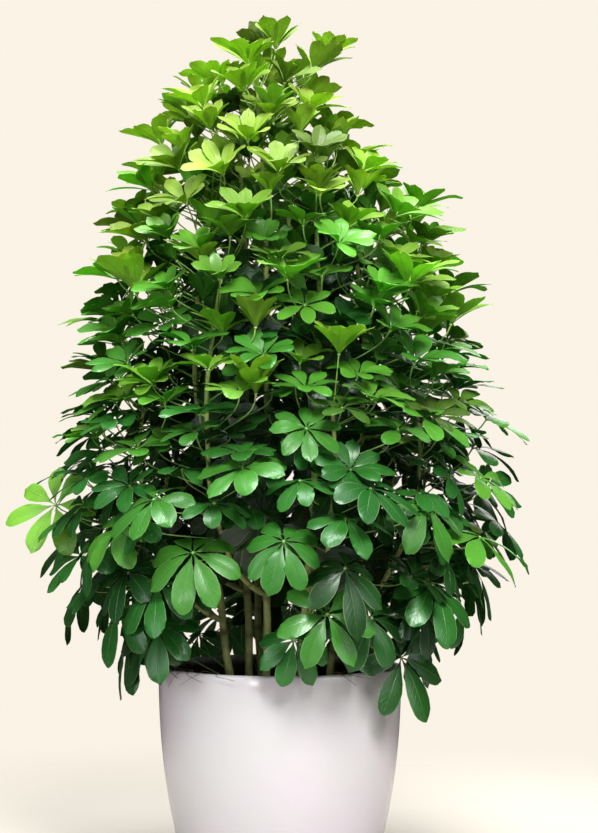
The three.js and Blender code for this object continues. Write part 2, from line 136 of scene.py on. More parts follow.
class Graph:
    """Adds nodes to one tree. Numbers, colours and sockets can all be given as inputs."""

    def __init__(self, tree):
        self.tree = tree

    def plug(self, socket, value):
        if isinstance(value, bpy.types.NodeSocket):
            self.tree.links.new(value, socket)
        else:
            socket.default_value = value

    def add(self, kind, inputs=None, **settings):
        node = self.tree.nodes.new(kind)
        for name, value in settings.items():
            setattr(node, name, value)
        for name, value in (inputs or {}).items():
            self.plug(node.inputs[name], value)
        return node

    def math(self, operation, *values, clamp=False):
        node = self.add("ShaderNodeMath", operation=operation, use_clamp=clamp)
        for socket, value in zip(node.inputs, values):
            self.plug(socket, value)
        return node.outputs[0]

    def times(self, *values, clamp=False):
        return self.math("MULTIPLY", *values, clamp=clamp)

    def mix(self, share, first, second, blend="MIX"):
        node = self.add("ShaderNodeMix", data_type="RGBA", blend_type=blend)
        for name, value in ((0, share), (6, first), (7, second)):
            self.plug(node.inputs[name], value)
        return node.outputs[2]

    def tinted(self, colour, other, mask, share):
        """A colour, moved towards another one by a share of a mask."""
        return self.mix(self.times(mask, share), colour, other)

    def shaded(self, colour, tone):
        """A colour, made lighter or darker by a tone."""
        return self.mix(1.0, colour, tone, blend="MULTIPLY")

    def ease(self, value, low, high, start=0.0, end=1.0):
        """value's way from low to high, as a soft step from start to end."""
        node = self.add("ShaderNodeMapRange", interpolation_type="SMOOTHSTEP")
        for name, given in zip(("Value", "From Min", "From Max"), (value, low, high)):
            self.plug(node.inputs[name], given)
        node.inputs["To Min"].default_value = start
        node.inputs["To Max"].default_value = end
        return node.outputs[0]

    def place(self):
        """The place on the plant, in metres."""
        return self.add("ShaderNodeTexCoord").outputs["Object"]

    def noise(self, scale, detail=3.0, rough=0.5):
        node = self.add("ShaderNodeTexNoise", {"Scale": scale, "Detail": detail, "Roughness": rough})
        self.plug(node.inputs["Vector"], self.place())
        return node.outputs["Fac"]

    def stored(self, name):
        """The three numbers that a mesh keeps at each point under a name."""
        found = self.add("ShaderNodeAttribute", attribute_name=name).outputs["Vector"]
        return self.add("ShaderNodeSeparateXYZ", {"Vector": found}).outputs

    def ramp(self, value, stops):
        node = self.add("ShaderNodeValToRGB", {"Fac": value})
        marks = node.color_ramp.elements
        while len(marks) < len(stops):
            marks.new(1.0)
        for mark, (position, colour) in zip(marks, stops):
            mark.position = position
            mark.color = (*colour, 1)
        return node.outputs["Color"]

    def bump(self, height, distance, strength=1.0):
        node = self.add("ShaderNodeBump", {"Height": height, "Strength": strength})
        node.inputs["Distance"].default_value = distance
        return node.outputs["Normal"]


# %% [markdown]
# ## Groups and materials
# A shader node group is a small graph with named inputs and outputs. It is drawn once, and every
# material that needs the effect places it and sets its own numbers. A material here is a Principled
# shader whose inputs are fed by a graph. A leaf is so thin that some light passes through it, so a
# share of a translucent shader can be mixed in.

# %% Make a group, use a group, make a material


def node_group(name, inputs, outputs, build):
    """A shader node group: inputs are {name: default}, and build gives back {output: socket}."""
    tree = bpy.data.node_groups.new(name, "ShaderNodeTree")
    for label, default in inputs.items():
        kind = "NodeSocketColor" if isinstance(default, tuple) else "NodeSocketFloat"
        tree.interface.new_socket(label, in_out="INPUT", socket_type=kind).default_value = default
    for label, kind in outputs.items():
        tree.interface.new_socket(label, in_out="OUTPUT", socket_type=kind)
    graph = Graph(tree)
    ways_in = graph.add("NodeGroupInput").outputs
    made = build(graph, {label: ways_in[label] for label in inputs})
    graph.add("NodeGroupOutput", made)
    print("group:", name, "with", len(tree.nodes), "nodes")
    return tree


def use_group(graph, tree, **inputs):
    """Places a group in a material. A Python name such as side_veins stands for Side Veins."""
    node = graph.add("ShaderNodeGroup", node_tree=tree)
    for name, value in inputs.items():
        graph.plug(node.inputs[name.replace("_", " ").title()], value)
    return node.outputs


def new_material(name, build, glow=0.0, **constants):
    """A material round a Principled shader. build gives back {input: socket} for it.

    glow is the share of light that passes through a thin piece, in a translucent shader.
    """
    material = bpy.data.materials.new(name)
    material.use_nodes = True
    graph = Graph(material.node_tree)
    shader = material.node_tree.nodes["Principled BSDF"]
    for label, value in constants.items():
        shader.inputs[label.replace("_", " ").title().replace("Ior", "IOR")].default_value = value
    made = build(graph)
    for label, socket in made.items():
        graph.plug(shader.inputs[label], socket)
    if glow:
        through = graph.add("ShaderNodeBsdfTranslucent", {"Color": made["Base Color"]})
        both = graph.add("ShaderNodeMixShader", {"Fac": glow})
        for socket, part in zip(both.inputs[1:], (shader, through)):
            graph.plug(socket, part.outputs[0])
        graph.plug(material.node_tree.nodes["Material Output"].inputs["Surface"], both.outputs[0])
    print("material:", name)
    return material


# %% [markdown]
# ## Effects that several finishes share
# Nothing that grows, and hardly anything that is fired or poured, is one even colour. **Mottle** is
# a soft cloud of lighter and darker patches, to multiply a colour by. **Grain** is a fine height
# field for a Bump node. Both read the place on the plant, so a patch keeps its real size on a leaf,
# a cane or the pot. As groups they are made once, and each material sets its own size and strength.

# %% Mottle and grain
FINE_PATCHES = 4.3  # the small patches are this many times finer than the large ones
FINE_SHARE = 0.4  # and make up this share of the cloud


def build_mottle(graph, given):
    coarse = graph.noise(given["Scale"], detail=2.0)
    fine = graph.noise(graph.times(given["Scale"], FINE_PATCHES), detail=3.0)
    cloud = graph.math("MULTIPLY_ADD", fine, FINE_SHARE, graph.times(coarse, 1 - FINE_SHARE))
    spread = graph.times(graph.math("SUBTRACT", cloud, 0.5), given["Spread"])
    return {"Tone": graph.math("ADD", 1.0, spread)}


def build_grain(graph, given):
    dots = graph.add("ShaderNodeTexVoronoi", {"Scale": given["Scale"], "Vector": graph.place()})
    cloud = graph.noise(graph.times(given["Scale"], 0.5), detail=4.0, rough=0.6)
    return {"Height": graph.math("MULTIPLY_ADD", dots.outputs["Distance"], 0.5, cloud)}


mottle = node_group(
    "Mottle", {"Scale": 40.0, "Spread": 0.6}, {"Tone": "NodeSocketFloat"}, build_mottle
)
grain = node_group("Grain", {"Scale": 900.0}, {"Height": "NodeSocketFloat"}, build_grain)


def mottled(graph, scale, spread):
    """The tone of a cloud of patches, for a colour or a roughness."""
    return use_group(graph, mottle, scale=scale, spread=spread)["Tone"]


def grained(graph, scale):
    """The height of a fine grain, for a bump."""
    return use_group(graph, grain, scale=scale)["Height"]


# %% [markdown]
# ## The green of a leaf
# A new leaf is a bright yellow-green, and over a year it turns a deep, slightly blue green. The mesh
# keeps each leaf's youth, so one colour ramp can dress the whole bush. **Leaf veins** draws what is
# on every leaflet from two numbers that the mesh also keeps: how far along it a point lies, and how
# far across. The pale midrib, the fine side veins and the light margin are then sharp at any size.
# Both sides of the blade use these groups, and the leaf stalks use the green.

# %% Leaf green and leaf veins
LEAF_GREENS = (
    (0.0, (0.002, 0.052, 0.005)),
    (0.3, (0.022, 0.190, 0.022)),
    (0.6, (0.115, 0.405, 0.028)),
    (0.85, (0.300, 0.490, 0.042)),
    (1.0, (0.350, 0.520, 0.058)),
)
TIP_BRONZE = (0.20, 0.20, 0.035, 1)  # the youngest leaves' tips
BRONZE_ALONG = (0.6, 1.1)  # of a leaflet's length: the bronze sets in over this stretch
BRONZE_YOUTH = (0.75, 0.95)  # and only on leaves this young
BRONZE_MOST = 0.42
LEAF_OLIVE = (0.120, 0.190, 0.020, 1)  # some leaves turn this way, whatever their age
SIDE_VEINS = 9.0  # pairs on a leaflet
SIDE_VEIN_RISE = 0.26  # how far they run towards the tip on their way to the edge
SIDE_VEIN_SHARP = (0.86, 1.0)  # the part of each wave that shows as a vein
SIDE_VEIN_FADE = (1.0, 0.6)  # of half the width: they fade towards the edge
MIDRIB_WIDTHS = (0.13, 0.03)  # of half the width, at the base and at the tip
MIDRIB_SHARP = 0.35  # of the midrib's width has its full colour
MARGIN = (0.91, 0.99)  # of half the width


def build_leaf_green(graph, given):
    base = graph.ramp(given["Youth"], LEAF_GREENS)
    tips = graph.ease(given["Along"], *BRONZE_ALONG, end=BRONZE_MOST)
    tips = graph.times(tips, graph.ease(given["Youth"], *BRONZE_YOUTH))
    base = graph.mix(tips, base, TIP_BRONZE)
    base = graph.mix(given["Olive"], base, LEAF_OLIVE)
    tone = mottled(graph, 45.0, 0.55)
    shade = graph.times(tone, given["Shade"])
    return {"Color": graph.shaded(base, shade)}


def build_leaf_veins(graph, given):
    aside = graph.math("ABSOLUTE", given["Across"])
    along = given["Along"]
    width = graph.ease(along, 0.05, 0.95, *MIDRIB_WIDTHS)
    midrib = graph.ease(aside, graph.times(width, MIDRIB_SHARP), width)
    midrib = graph.math("SUBTRACT", 1.0, midrib)
    run = graph.math("MULTIPLY_ADD", aside, -SIDE_VEIN_RISE, along)
    wave = graph.math("COSINE", graph.times(run, 2 * math.pi * SIDE_VEINS))
    lines = graph.times(graph.ease(wave, *SIDE_VEIN_SHARP), graph.ease(aside, *SIDE_VEIN_FADE))
    margin = graph.ease(aside, *MARGIN)
    return {"Midrib": midrib, "Side Veins": lines, "Margin": margin}


leaf_green = node_group(
    "Leaf green",
    {"Youth": 0.5, "Shade": 1.0, "Along": 0.0, "Olive": 0.0},
    {"Color": "NodeSocketColor"},
    build_leaf_green,
)
leaf_veins = node_group(
    "Leaf veins",
    {"Along": 0.5, "Across": 0.0},
    {"Midrib": "NodeSocketFloat", "Side Veins": "NodeSocketFloat", "Margin": "NodeSocketFloat"},
    build_leaf_veins,
)

# %% [markdown]
# ## The two sides of a leaf
# The upper side is leathery and waxed: a smooth dark face that throws long soft lights, with a fine
# pale line down its middle. The under side has no wax. It is paler, more olive and almost matt, its
# midrib stands out, and painted light makes it lighter still. One material per side is simpler than
# one material that asks which side it is on, and each blade's faces know their side.

# %% Leaf materials
PALE_RIB = (0.30, 0.47, 0.13, 1)
MARGIN_GREEN = (0.42, 0.60, 0.26, 1)
UNDER_OLIVE = (0.055, 0.22, 0.035, 1)
# What is drawn on each side, how strongly, and in which colour.
FACE_LINES = (("Side Veins", 0.05, PALE_RIB), ("Midrib", 0.20, PALE_RIB), ("Margin", 0.38, MARGIN_GREEN))
BACK_LINES = (("Side Veins", 0.22, PALE_RIB), ("Midrib", 0.75, PALE_RIB))
# The under side's lift is partly its own paler colour and partly painted light.
BACK_PALER_AND_LIT = 1.35  # the under side is this much lighter
BACK_OLIVE = 0.5  # and the oldest leaves' is this much more olive
WAX_ROUGHNESS = (0.34, 0.6)  # of a grown leaf and of the youngest
WAX_YOUTH = (0.4, 1.0)
BACK_ROUGHNESS = 0.52
SKIN_HEIGHT = 0.10  # of the midrib's
VEIN_BUMP = 0.0004  # metres


def leaf_parts(graph, lift=1.0):
    """A blade's youth and veins, and its green, lifted by a factor."""
    along, across, _ = graph.stored("leaflet")
    youth, shade, olive = graph.stored("growth")
    shade = graph.times(shade, lift)
    veins = use_group(graph, leaf_veins, along=along, across=across)
    green = use_group(graph, leaf_green, youth=youth, shade=shade, along=along, olive=olive)["Color"]
    return SimpleNamespace(youth=youth, veins=veins, green=green)


def lined(graph, colour, veins, lines):
    for name, share, other in lines:
        colour = graph.tinted(colour, other, veins[name], share)
    return colour


def blade_bump(graph, veins, rib, side):
    """The midrib, the side veins and the fine skin between them. Below zero is a groove."""
    skin = graph.times(grained(graph, 1100.0), SKIN_HEIGHT)
    high = graph.math("MULTIPLY_ADD", veins["Midrib"], rib, skin)
    return graph.bump(graph.math("MULTIPLY_ADD", veins["Side Veins"], side, high), VEIN_BUMP)


def build_leaf_face(graph):
    leaf = leaf_parts(graph)
    rough = graph.ease(leaf.youth, *WAX_YOUTH, *WAX_ROUGHNESS)
    return {
        "Base Color": lined(graph, leaf.green, leaf.veins, FACE_LINES),
        "Roughness": graph.times(mottled(graph, 70.0, 0.6), rough),
        "Normal": blade_bump(graph, leaf.veins, rib=-1.0, side=-0.45),
    }


def build_leaf_back(graph):
    # The lift below is partly the under side's paler colour and partly painted light.
    leaf = leaf_parts(graph, lift=BACK_PALER_AND_LIT)
    paler = graph.ease(leaf.youth, 0.0, 1.0, start=BACK_OLIVE, end=0.0)
    colour = graph.mix(paler, leaf.green, UNDER_OLIVE)
    return {
        "Base Color": lined(graph, colour, leaf.veins, BACK_LINES),
        "Roughness": graph.times(mottled(graph, 70.0, 0.5), BACK_ROUGHNESS),
        "Normal": blade_bump(graph, leaf.veins, rib=1.6, side=0.6),
    }


leaf_face = new_material(
    "leaf face", build_leaf_face, glow=0.38, specular_ior_level=0.78, coat_weight=0.08,
    specular_tint=(0.84, 1.0, 0.90, 1),
)
leaf_back = new_material("leaf back", build_leaf_back, glow=0.66, specular_ior_level=0.3)

# %% [markdown]
# ## Stalks and bark
# The leaf stalks are smooth and pale green, darker where they leave the cane. The canes stay green
# for years. Low down their skin turns a greyish brown with short pale pores, and every few
# centimetres a ring shows where an old leaf fell off.

# %% Stalk and bark materials
STALK_PALE = (0.26, 0.42, 0.12, 1)
BARK_GREEN = (0.300, 0.400, 0.110, 1)
BARK_BROWN = (0.360, 0.370, 0.150, 1)
PORE_PALE = (0.30, 0.27, 0.17, 1)
SCAR_DARK = (0.060, 0.048, 0.026, 1)
STALK_PALER = (0.25, 0.72)  # how pale a stalk is at the cane, and from half way up
BARK_AGE = (0.75, 0.20)  # metres above the floor: green down to the first, brown below the second
PORES = 230.0  # to the metre
PORE_EDGE = (0.26, 0.12)  # of the way between pores


def build_leaf_stalk(graph):
    along, _, _ = graph.stored("leaflet")
    youth, shade, _ = graph.stored("growth")
    green = use_group(graph, leaf_green, youth=youth, shade=shade)["Color"]
    pale = graph.ease(along, 0.0, 0.5, *STALK_PALER)
    skin = grained(graph, 1600.0)
    wax = mottled(graph, 120.0, 0.5)
    return {
        "Base Color": graph.mix(pale, green, STALK_PALE),
        "Roughness": graph.times(wax, 0.42),
        "Normal": graph.bump(skin, 0.0002, strength=0.5),
    }


def build_cane_bark(graph):
    height, ring, _ = graph.stored("cane")
    tone = mottled(graph, 55.0, 1.1)
    old = graph.ease(height, *BARK_AGE)
    colour = graph.mix(graph.times(old, tone, clamp=True), BARK_GREEN, BARK_BROWN)
    colour = graph.shaded(colour, tone)
    pores = graph.add("ShaderNodeTexVoronoi", {"Vector": graph.place(), "Scale": PORES})
    dots = graph.ease(pores.outputs["Distance"], *PORE_EDGE)
    dots = graph.times(dots, old)
    colour = graph.tinted(colour, PORE_PALE, dots, 0.55)
    colour = graph.tinted(colour, SCAR_DARK, ring, 0.7)
    rough = grained(graph, 700.0)
    relief = graph.math("MULTIPLY_ADD", dots, 0.5, rough)
    return {
        "Base Color": colour,
        "Roughness": graph.times(tone, 0.62),
        "Normal": graph.bump(relief, 0.0006),
    }


leaf_stalk = new_material("leaf stalk", build_leaf_stalk, specular_ior_level=0.4)
cane_bark = new_material("cane bark", build_cane_bark, specular_ior_level=0.3)

# %% [markdown]
# ## Glaze, soil and dry bits
# The pot has a thick white glaze with the faintest blush of pink. Fired glaze is never quite flat,
# so its bump is a long, very low wave, and its gloss changes a little from place to place. Inside,
# below the lip, it is painted near black: painted shade. Potting soil is almost black where it is
# moist and brown where it has dried on top. Chips of bark and a few white grains of perlite lie in it.

# %% Pot and soil materials
GLAZE_WHITE = (0.465, 0.462, 0.482, 1)
GLAZE_BLUSH = (0.500, 0.455, 0.510, 1)
# Painted shade: the near black of the pot's inner wall below the lip.
PAINTED_SHADE_IN_POT = (0.035, 0.026, 0.018, 1)
SOIL_MOIST = (0.018, 0.012, 0.008)
SOIL_DRY = (0.085, 0.058, 0.038)
PAINTED_SHADE_LINE = (0.338, 0.324)  # metres: white glaze above the first, painted shade below the second
PAINTED_SHADE_WANDERS = 0.016


def build_pot_glaze(graph):
    cloud = graph.ease(graph.noise(5.0, detail=2.0), 0.35, 0.68)
    tone = mottled(graph, 14.0, 0.06)
    colour = graph.mix(cloud, GLAZE_WHITE, GLAZE_BLUSH)
    # The inner wall below the lip is darkened: painted shade.
    inside, height, _ = graph.stored("wall")
    high = graph.math("MULTIPLY_ADD", graph.noise(45.0), PAINTED_SHADE_WANDERS, height)
    painted_shade = graph.times(inside, graph.ease(high, *PAINTED_SHADE_LINE))
    colour = graph.mix(painted_shade, colour, PAINTED_SHADE_IN_POT)
    gloss = mottled(graph, 30.0, 0.5)
    wave = graph.noise(28.0, detail=1.5)
    pits = grained(graph, 1500.0)
    relief = graph.math("MULTIPLY_ADD", pits, 0.012, wave)
    return {
        "Base Color": graph.shaded(colour, tone),
        "Roughness": graph.times(gloss, 0.20),
        "Normal": graph.bump(relief, 0.0012, strength=0.5),
    }


def build_potting_soil(graph):
    crumbs = grained(graph, 260.0)
    tone = mottled(graph, 60.0, 1.4)
    colour = graph.ramp(graph.times(crumbs, tone), ((0.35, SOIL_MOIST), (1.0, SOIL_DRY)))
    return {
        "Base Color": colour,
        "Roughness": graph.times(tone, 0.9, clamp=True),
        "Normal": graph.bump(crumbs, 0.004),
    }


def flecked(low, high, rough):
    """A matt material whose colour wanders between two."""

    def build(graph):
        tone = mottled(graph, 150.0, 1.2)
        fibres = grained(graph, 500.0)
        return {
            "Base Color": graph.mix(graph.ease(tone, 0.75, 1.25), low, high),
            "Roughness": graph.times(tone, rough, clamp=True),
            "Normal": graph.bump(fibres, 0.001),
        }

    return build


pot_glaze = new_material("pot glaze", build_pot_glaze, specular_ior_level=0.45, coat_weight=0.12)
potting_soil = new_material("potting soil", build_potting_soil)
bark_chip = new_material("bark chip", flecked((0.055, 0.032, 0.018, 1), (0.15, 0.09, 0.05, 1), 0.85))
perlite = new_material("perlite", flecked((0.55, 0.53, 0.48, 1), (0.75, 0.74, 0.70, 1), 0.8))
dry_stalk = new_material("dry stalk", flecked((0.030, 0.022, 0.014, 1), (0.11, 0.08, 0.05, 1), 0.7))

# %% [markdown]
# ## Sizes of the pot and the canes
# These are the driving dimensions of the real plant, the same as in the construction model. Heights
# are above the floor, and angles are degrees from +X towards +Y, so the front is at 270.

# %% Driving dimensions
POT_HEIGHT = 330
POT_RIM_RADIUS = 190
POT_FOOT_RADIUS = 145
POT_CURVE = 2.24
POT_WALL = 10
POT_FLOOR = 14
POT_EDGE_ROUNDING = 10
SOIL_TOP = 283
SOIL_MOUND = 7
SOIL_LUMPS = 1.6
SOIL_LUMP_WIDTHS = (17, 13, 40)

CANE_ROOT_HEIGHT = 215
CANE_FOOT_RADIUS = 6.5
CANE_TIP_RADIUS = 3
SHOOT_FOOT_RADIUS = 4.5
CANE_STEPS = 9
SHOOT_STEPS = 6
FORK_JOINT = 2  # of those steps: the side shoot leaves the cane there
# Two habits: (radius, height) of the control points of a cane and of its side shoot, from below.
# None stands for the height in the cane's own row.
TALL = {
    "cane": ((48, CANE_ROOT_HEIGHT), (66, 560), (44, 900), (26, None)),
    "shoot": ((176, 462), (272, 650), (168, 930)),
}
SPREADING = {
    "cane": ((76, CANE_ROOT_HEIGHT), (92, 500), (190, 750), (118, None)),
    "shoot": ((190, 440), (250, 590), (222, 730)),
}
# Each cane's name, azimuth, habit, height and sway in degrees.
CANES = (
    ("front_left_cane", 247, TALL, 1225, 24),
    ("front_right_cane", 292, SPREADING, 1050, 4),
    ("right_cane", 338, SPREADING, 1010, -5),
    ("back_right_cane", 23, TALL, 1190, -14),
    ("back_cane", 68, SPREADING, 1055, 6),
    ("back_left_cane", 112, SPREADING, 1020, -6),
    ("left_cane", 157, TALL, 1165, 10),
    ("near_left_cane", 202, SPREADING, 1040, 5),
)
print("canes:", len(CANES))

# %% [markdown]
# ## The shape of the crown
# A bush looks right when its leaves change with height: low leaves are large, flat and hang outwards,
# and high ones are small cups that face the sky. Each of these lists is such a change, as pairs of a
# height and a value. The leaves that stand out most from the front have their homes listed.

# %% Profiles and front leaves
HUB_RADIUS = (
    (335, 226), (400, 250), (440, 292), (480, 316), (560, 338), (600, 336), (650, 308), (740, 286),
    (830, 264), (900, 262), (1000, 228), (1090, 182), (1140, 138), (1215, 86), (1262, 52), (1306, 12),
)
LEAF_SIZE = ((350, 92), (560, 86), (700, 78), (900, 76), (1100, 70), (1290, 64))
LEAF_TILT = (
    (350, 72), (450, 62), (560, 52), (700, 42), (850, 34), (1000, 28), (1150, 22), (1290, 12),
)
LEAF_CUP = (
    (350, -10), (480, -4), (600, 6), (720, 18), (850, 28), (1000, 36), (1150, 42), (1290, 48),
)
CROWN_LEAN = ((1030, 0), (1130, -42), (1220, -38), (1300, -4))
LEAF_SPACING = ((340, 112), (700, 112), (1000, 103), (1100, 88), (1200, 76), (1300, 68))

# Youth here is partly each leaf's age and partly painted light: a leaf shaded by others is given more.
# The leaves that stand out most in the front view: (across, height, size, tilt, cup, youth)
FRONT_LEAVES = (
    (-5, 1296, 64, 8, 50, 0.85), (-46, 1260, 68, 15, 45, 0.85), (42, 1260, 66, 15, 45, 0.9),
    (-118, 1190, 74, 20, 42, 0.9), (44, 1185, 66, 22, 40, 0.95), (-163, 1096, 72, 25, 40, 0.85),
    (127, 1094, 66, 25, 38, 0.8), (0, 1080, 69, 25, 42, 0.85), (-57, 1010, 72, 25, 42, 0.75),
    (183, 1020, 75, 25, 35, 0.7), (-118, 955, 72, 30, 40, 0.65), (-203, 900, 94, 20, 38, 0.8),
    (193, 905, 92, 20, 35, 0.75), (-266, 864, 84, 15, 35, 0.7), (257, 860, 84, 20, 35, 0.75),
    (-29, 840, 66, 20, 42, 0.82), (77, 808, 75, 30, 38, 0.8), (-179, 762, 78, 35, 32, 0.7),
    (-39, 750, 78, 20, 42, 0.82), (50, 700, 69, 55, 5, 0.4), (204, 713, 72, 45, 10, 0.5),
    (-279, 690, 63, 30, 20, 0.7), (-345, 578, 92, 34, 14, 0.68), (305, 538, 96, 45, 4, 0.5),
    (-290, 520, 88, 60, -8, 0.15), (-7, 538, 78, 68, -5, 0.35), (213, 581, 81, 62, -5, 0.4),
    (80, 431, 90, 68, -5, 0.4), (223, 467, 90, 55, 0, 0.3), (-182, 402, 98, 62, -8, 0.2),
    (33, 397, 78, 78, -12, 0.3), (172, 350, 90, 74, -8, 0.45),
)
GAP = {"from": 254, "to": 274, "top": 500}  # where the canes show, at the front above the rim
print("leaves chosen by eye:", len(FRONT_LEAVES))

# %% [markdown]
# ## Draws, profiles and the canes' curves
# The draws come from a tiny generator that gives the same numbers in any language, so the leaves
# come out where the construction model has them. A cane is a Bezier curve. The rule takes it as
# straight between a few joints, and the finished cane below follows the same curve smoothly.

# %% Small geometry helpers
UP = np.array((0.0, 0.0, 1.0))
ROOM_STALK = 8  # a stalk or a cane is tested at marks this far apart, and kept this clear


def seeded_draws(seed):
    """A function that gives the next number between 0 and 1."""
    state = seed

    def draw():
        nonlocal state
        state = state * 16807 % 2147483647
        return state / 2147483647

    return draw


def profile_at(profile, height):
    """The value of a profile at a height, on straight lines between its points."""
    low, value = profile[0]
    if height <= low:
        return value
    for high, nxt in profile:
        if height <= high:
            return value + (nxt - value) * (height - low) / ((high - low) or 1)
        low, value = high, nxt
    return value


def polar(azimuth, radius, height):
    angle = math.radians(azimuth)
    return np.array((radius * math.cos(angle), radius * math.sin(angle), float(height)))


def leaned(place):
    """A place in the crown, moved over with the crown's lean."""
    place[0] += profile_at(CROWN_LEAN, place[2])
    return place


def bezier(corners, t):
    """The point or points at t of the curve with four control points."""
    a, b, c, d = corners
    t = np.asarray(t, float)[..., None]
    s = 1 - t
    return s**3 * a + 3 * s * s * t * b + 3 * s * t * t * c + t**3 * d


def cane_curves(azimuth, habit, top, sway):
    """The control points of a cane and of its side shoot."""
    turns = (azimuth, azimuth, azimuth + sway / 2, azimuth + sway)
    main = [
        polar(turn, radius, top if height is None else height)
        for turn, (radius, height) in zip(turns, habit["cane"])
    ]
    if habit is TALL:
        leaned(main[-1])
    fork = bezier(main, FORK_JOINT / CANE_STEPS)
    shoot = [fork, *(polar(azimuth - sway / 3, r, height) for r, height in habit["shoot"])]
    return main, shoot


def branch_points(corners, steps):
    """Evenly spread points of a branch's middle line, straight between its joints."""
    joints = bezier(corners, np.arange(steps + 1) / steps)
    points = []
    for start, end in zip(joints, joints[1:]):
        count = math.ceil(math.dist(start, end) / ROOM_STALK)
        points += [start + (end - start) * (step / count) for step in range(count)]
    return np.array(points)


canes = []
for name, azimuth, habit, top, sway in CANES:
    main, shoot = cane_curves(azimuth, habit, top, sway)
    canes.append(SimpleNamespace(name=name, curves=(main, shoot), leaves=[]))
print("longest cane ends at", max(round(c.curves[0][3][2]) for c in canes), "mm")

# %% [markdown]
# ## One leaf's frame
# A leaf is described by its hub, the axis that it faces along, and how far its leaflets rise above a
# flat plane, its cup. From these come the places of its leaflets. The stalk leaves the cane, bends
# like a plant does towards the light, and meets the hub along the leaf's axis.

# %% Points of a leaf
LEAFLET_HALF_WIDTH = 0.225  # of its length
STALK_BEND = 0.42  # of its reach lies along the leaf's axis


def leaf_frame(azimuth, tilt):
    """The leaf's axis, the way its outer leaflet points, and the third direction."""
    outward = polar(azimuth, 1, 0)
    lean = math.radians(tilt)
    axis = UP * math.cos(lean) + outward * math.sin(lean)
    ahead = outward * math.cos(lean) - UP * math.sin(lean)
    return {"axis": axis, "ahead": ahead, "across": np.cross(axis, ahead)}


def leaf_points(leaf, turn, rise, distance):
    """Points of the leaf: turn round its axis, rise above its plane, distance from its hub."""
    flat = distance * np.cos(rise)
    return (
        leaf.hub
        + np.multiply.outer(flat * np.cos(turn), leaf.ahead)
        + np.multiply.outer(flat * np.sin(turn), leaf.across)
        + np.multiply.outer(distance * np.sin(rise), leaf.axis)
    )


def stalk_points(leaf, t):
    """Points of the stalk's curve, from the cane to the hub."""
    bend = leaf.hub - leaf.axis * (STALK_BEND * leaf.reach)
    t = np.asarray(t, float)[..., None]
    return (1 - t) ** 2 * leaf.root + 2 * t * (1 - t) * bend + t**2 * leaf.hub


def leaf_marks(leaf, marks, room_blade, room_stalk, sag=0.0):
    """The points that a leaf keeps clear: a list of (x, y, z, room, is a stem)."""
    turns = np.array([leaflet[0] for leaflet in leaf.leaflets])[:, None]
    lengths = np.array([leaflet[1] for leaflet in leaf.leaflets])[:, None]
    along, aside = np.array(marks).T
    offset = aside * LEAFLET_HALF_WIDTH
    distance = lengths * np.hypot(along, offset)
    blades = leaf_points(leaf, turns + np.arctan2(offset, along), leaf.cup, distance)
    blades -= np.multiply.outer(sag * lengths * along**2, UP)
    found = [(*leaf.hub.tolist(), room_blade, False)]
    found += [(*point, room_blade, False) for point in blades.reshape(-1, 3).tolist()]
    steps = math.ceil(leaf.reach / ROOM_STALK)
    stalk = stalk_points(leaf, np.arange(steps) / steps)
    return found + [(*point, room_stalk, True) for point in stalk.tolist()]


# %% [markdown]
# ## Keeping the leaves apart
# Leaves that cut through each other are what gives a made-up bush away. Each leaf is tested at a
# few dozen marks against everything that already stands. To be quick, the marks are kept in boxes
# as wide as the greatest distance that matters, so a test only looks at its own box and those next
# to it.

# %% The crowd of leaves
ROOM_CANE = 15  # the widest room, and so the size of a box
RIM_ROOM = 13  # around the rim, and above the soil
WALL_ROOM = 5


class Crowd:
    """What already stands in the bush."""

    def __init__(self):
        self.boxes = {}

    @staticmethod
    def box(x, y, z):
        return math.floor(x / ROOM_CANE), math.floor(y / ROOM_CANE), math.floor(z / ROOM_CANE)

    def add(self, marks, owner):
        for mark in marks:
            i, j, k = self.box(*mark[:3])
            for near in ((i + a, j + b, k + c) for a in (-1, 0, 1) for b in (-1, 0, 1) for c in (-1, 0, 1)):
                self.boxes.setdefault(near, []).append((*mark, owner))

    def meets(self, marks, owner):
        for x, y, z, room, stem in marks:
            for a, b, c, other_room, other_stem, other in self.boxes.get(self.box(x, y, z), ()):
                if stem and other_stem and owner == other:
                    continue
                limit = max(room, other_room)
                if (x - a) ** 2 + (y - b) ** 2 + (z - c) ** 2 < limit * limit:
                    return True
        return False


def touches_pot(mark):
    """The pot keeps its leaves off: a mark near the rim or inside it is refused."""
    x, y, z = mark[:3]
    return z < POT_HEIGHT + RIM_ROOM and math.hypot(x, y) < POT_RIM_RADIUS + RIM_ROOM


def touches_wall(mark):
    """The closer test: only the pot's wall and the soil are in the way."""
    x, y, z = mark[:3]
    reach = math.hypot(x, y)
    wall = POT_RIM_RADIUS - POT_WALL - WALL_ROOM < reach < POT_RIM_RADIUS + WALL_ROOM
    return (wall and z < POT_HEIGHT + WALL_ROOM) or (reach < POT_RIM_RADIUS and z < SOIL_TOP + RIM_ROOM)


# %% [markdown]
# ## Roots for the leaves
# A leaf grows from a place on a cane or side shoot that is near its hub and lower than it. A stalk
# that rises at about thirty degrees suits it best, so each place on the branches gets a cost: its
# distance, and more the further its rise is from that. The best place of each branch competes.

# %% Find a leaf's root
STALK_SHORTEST = 45
STALK_RISE = 0.5  # the sine of the angle that suits a stalk best
STALK_RISE_WEIGHT = 0.9


def all_branches(canes):
    """Every branch's points in one array, and where each branch starts in it."""
    runs = [
        (owner, branch_points(curve, steps))
        for owner, cane in enumerate(canes)
        for curve, steps in zip(cane.curves, (CANE_STEPS, SHOOT_STEPS))
    ]
    starts = np.cumsum([0] + [len(points) for _, points in runs])
    return SimpleNamespace(
        runs=runs, places=np.concatenate([points for _, points in runs]), starts=starts
    )


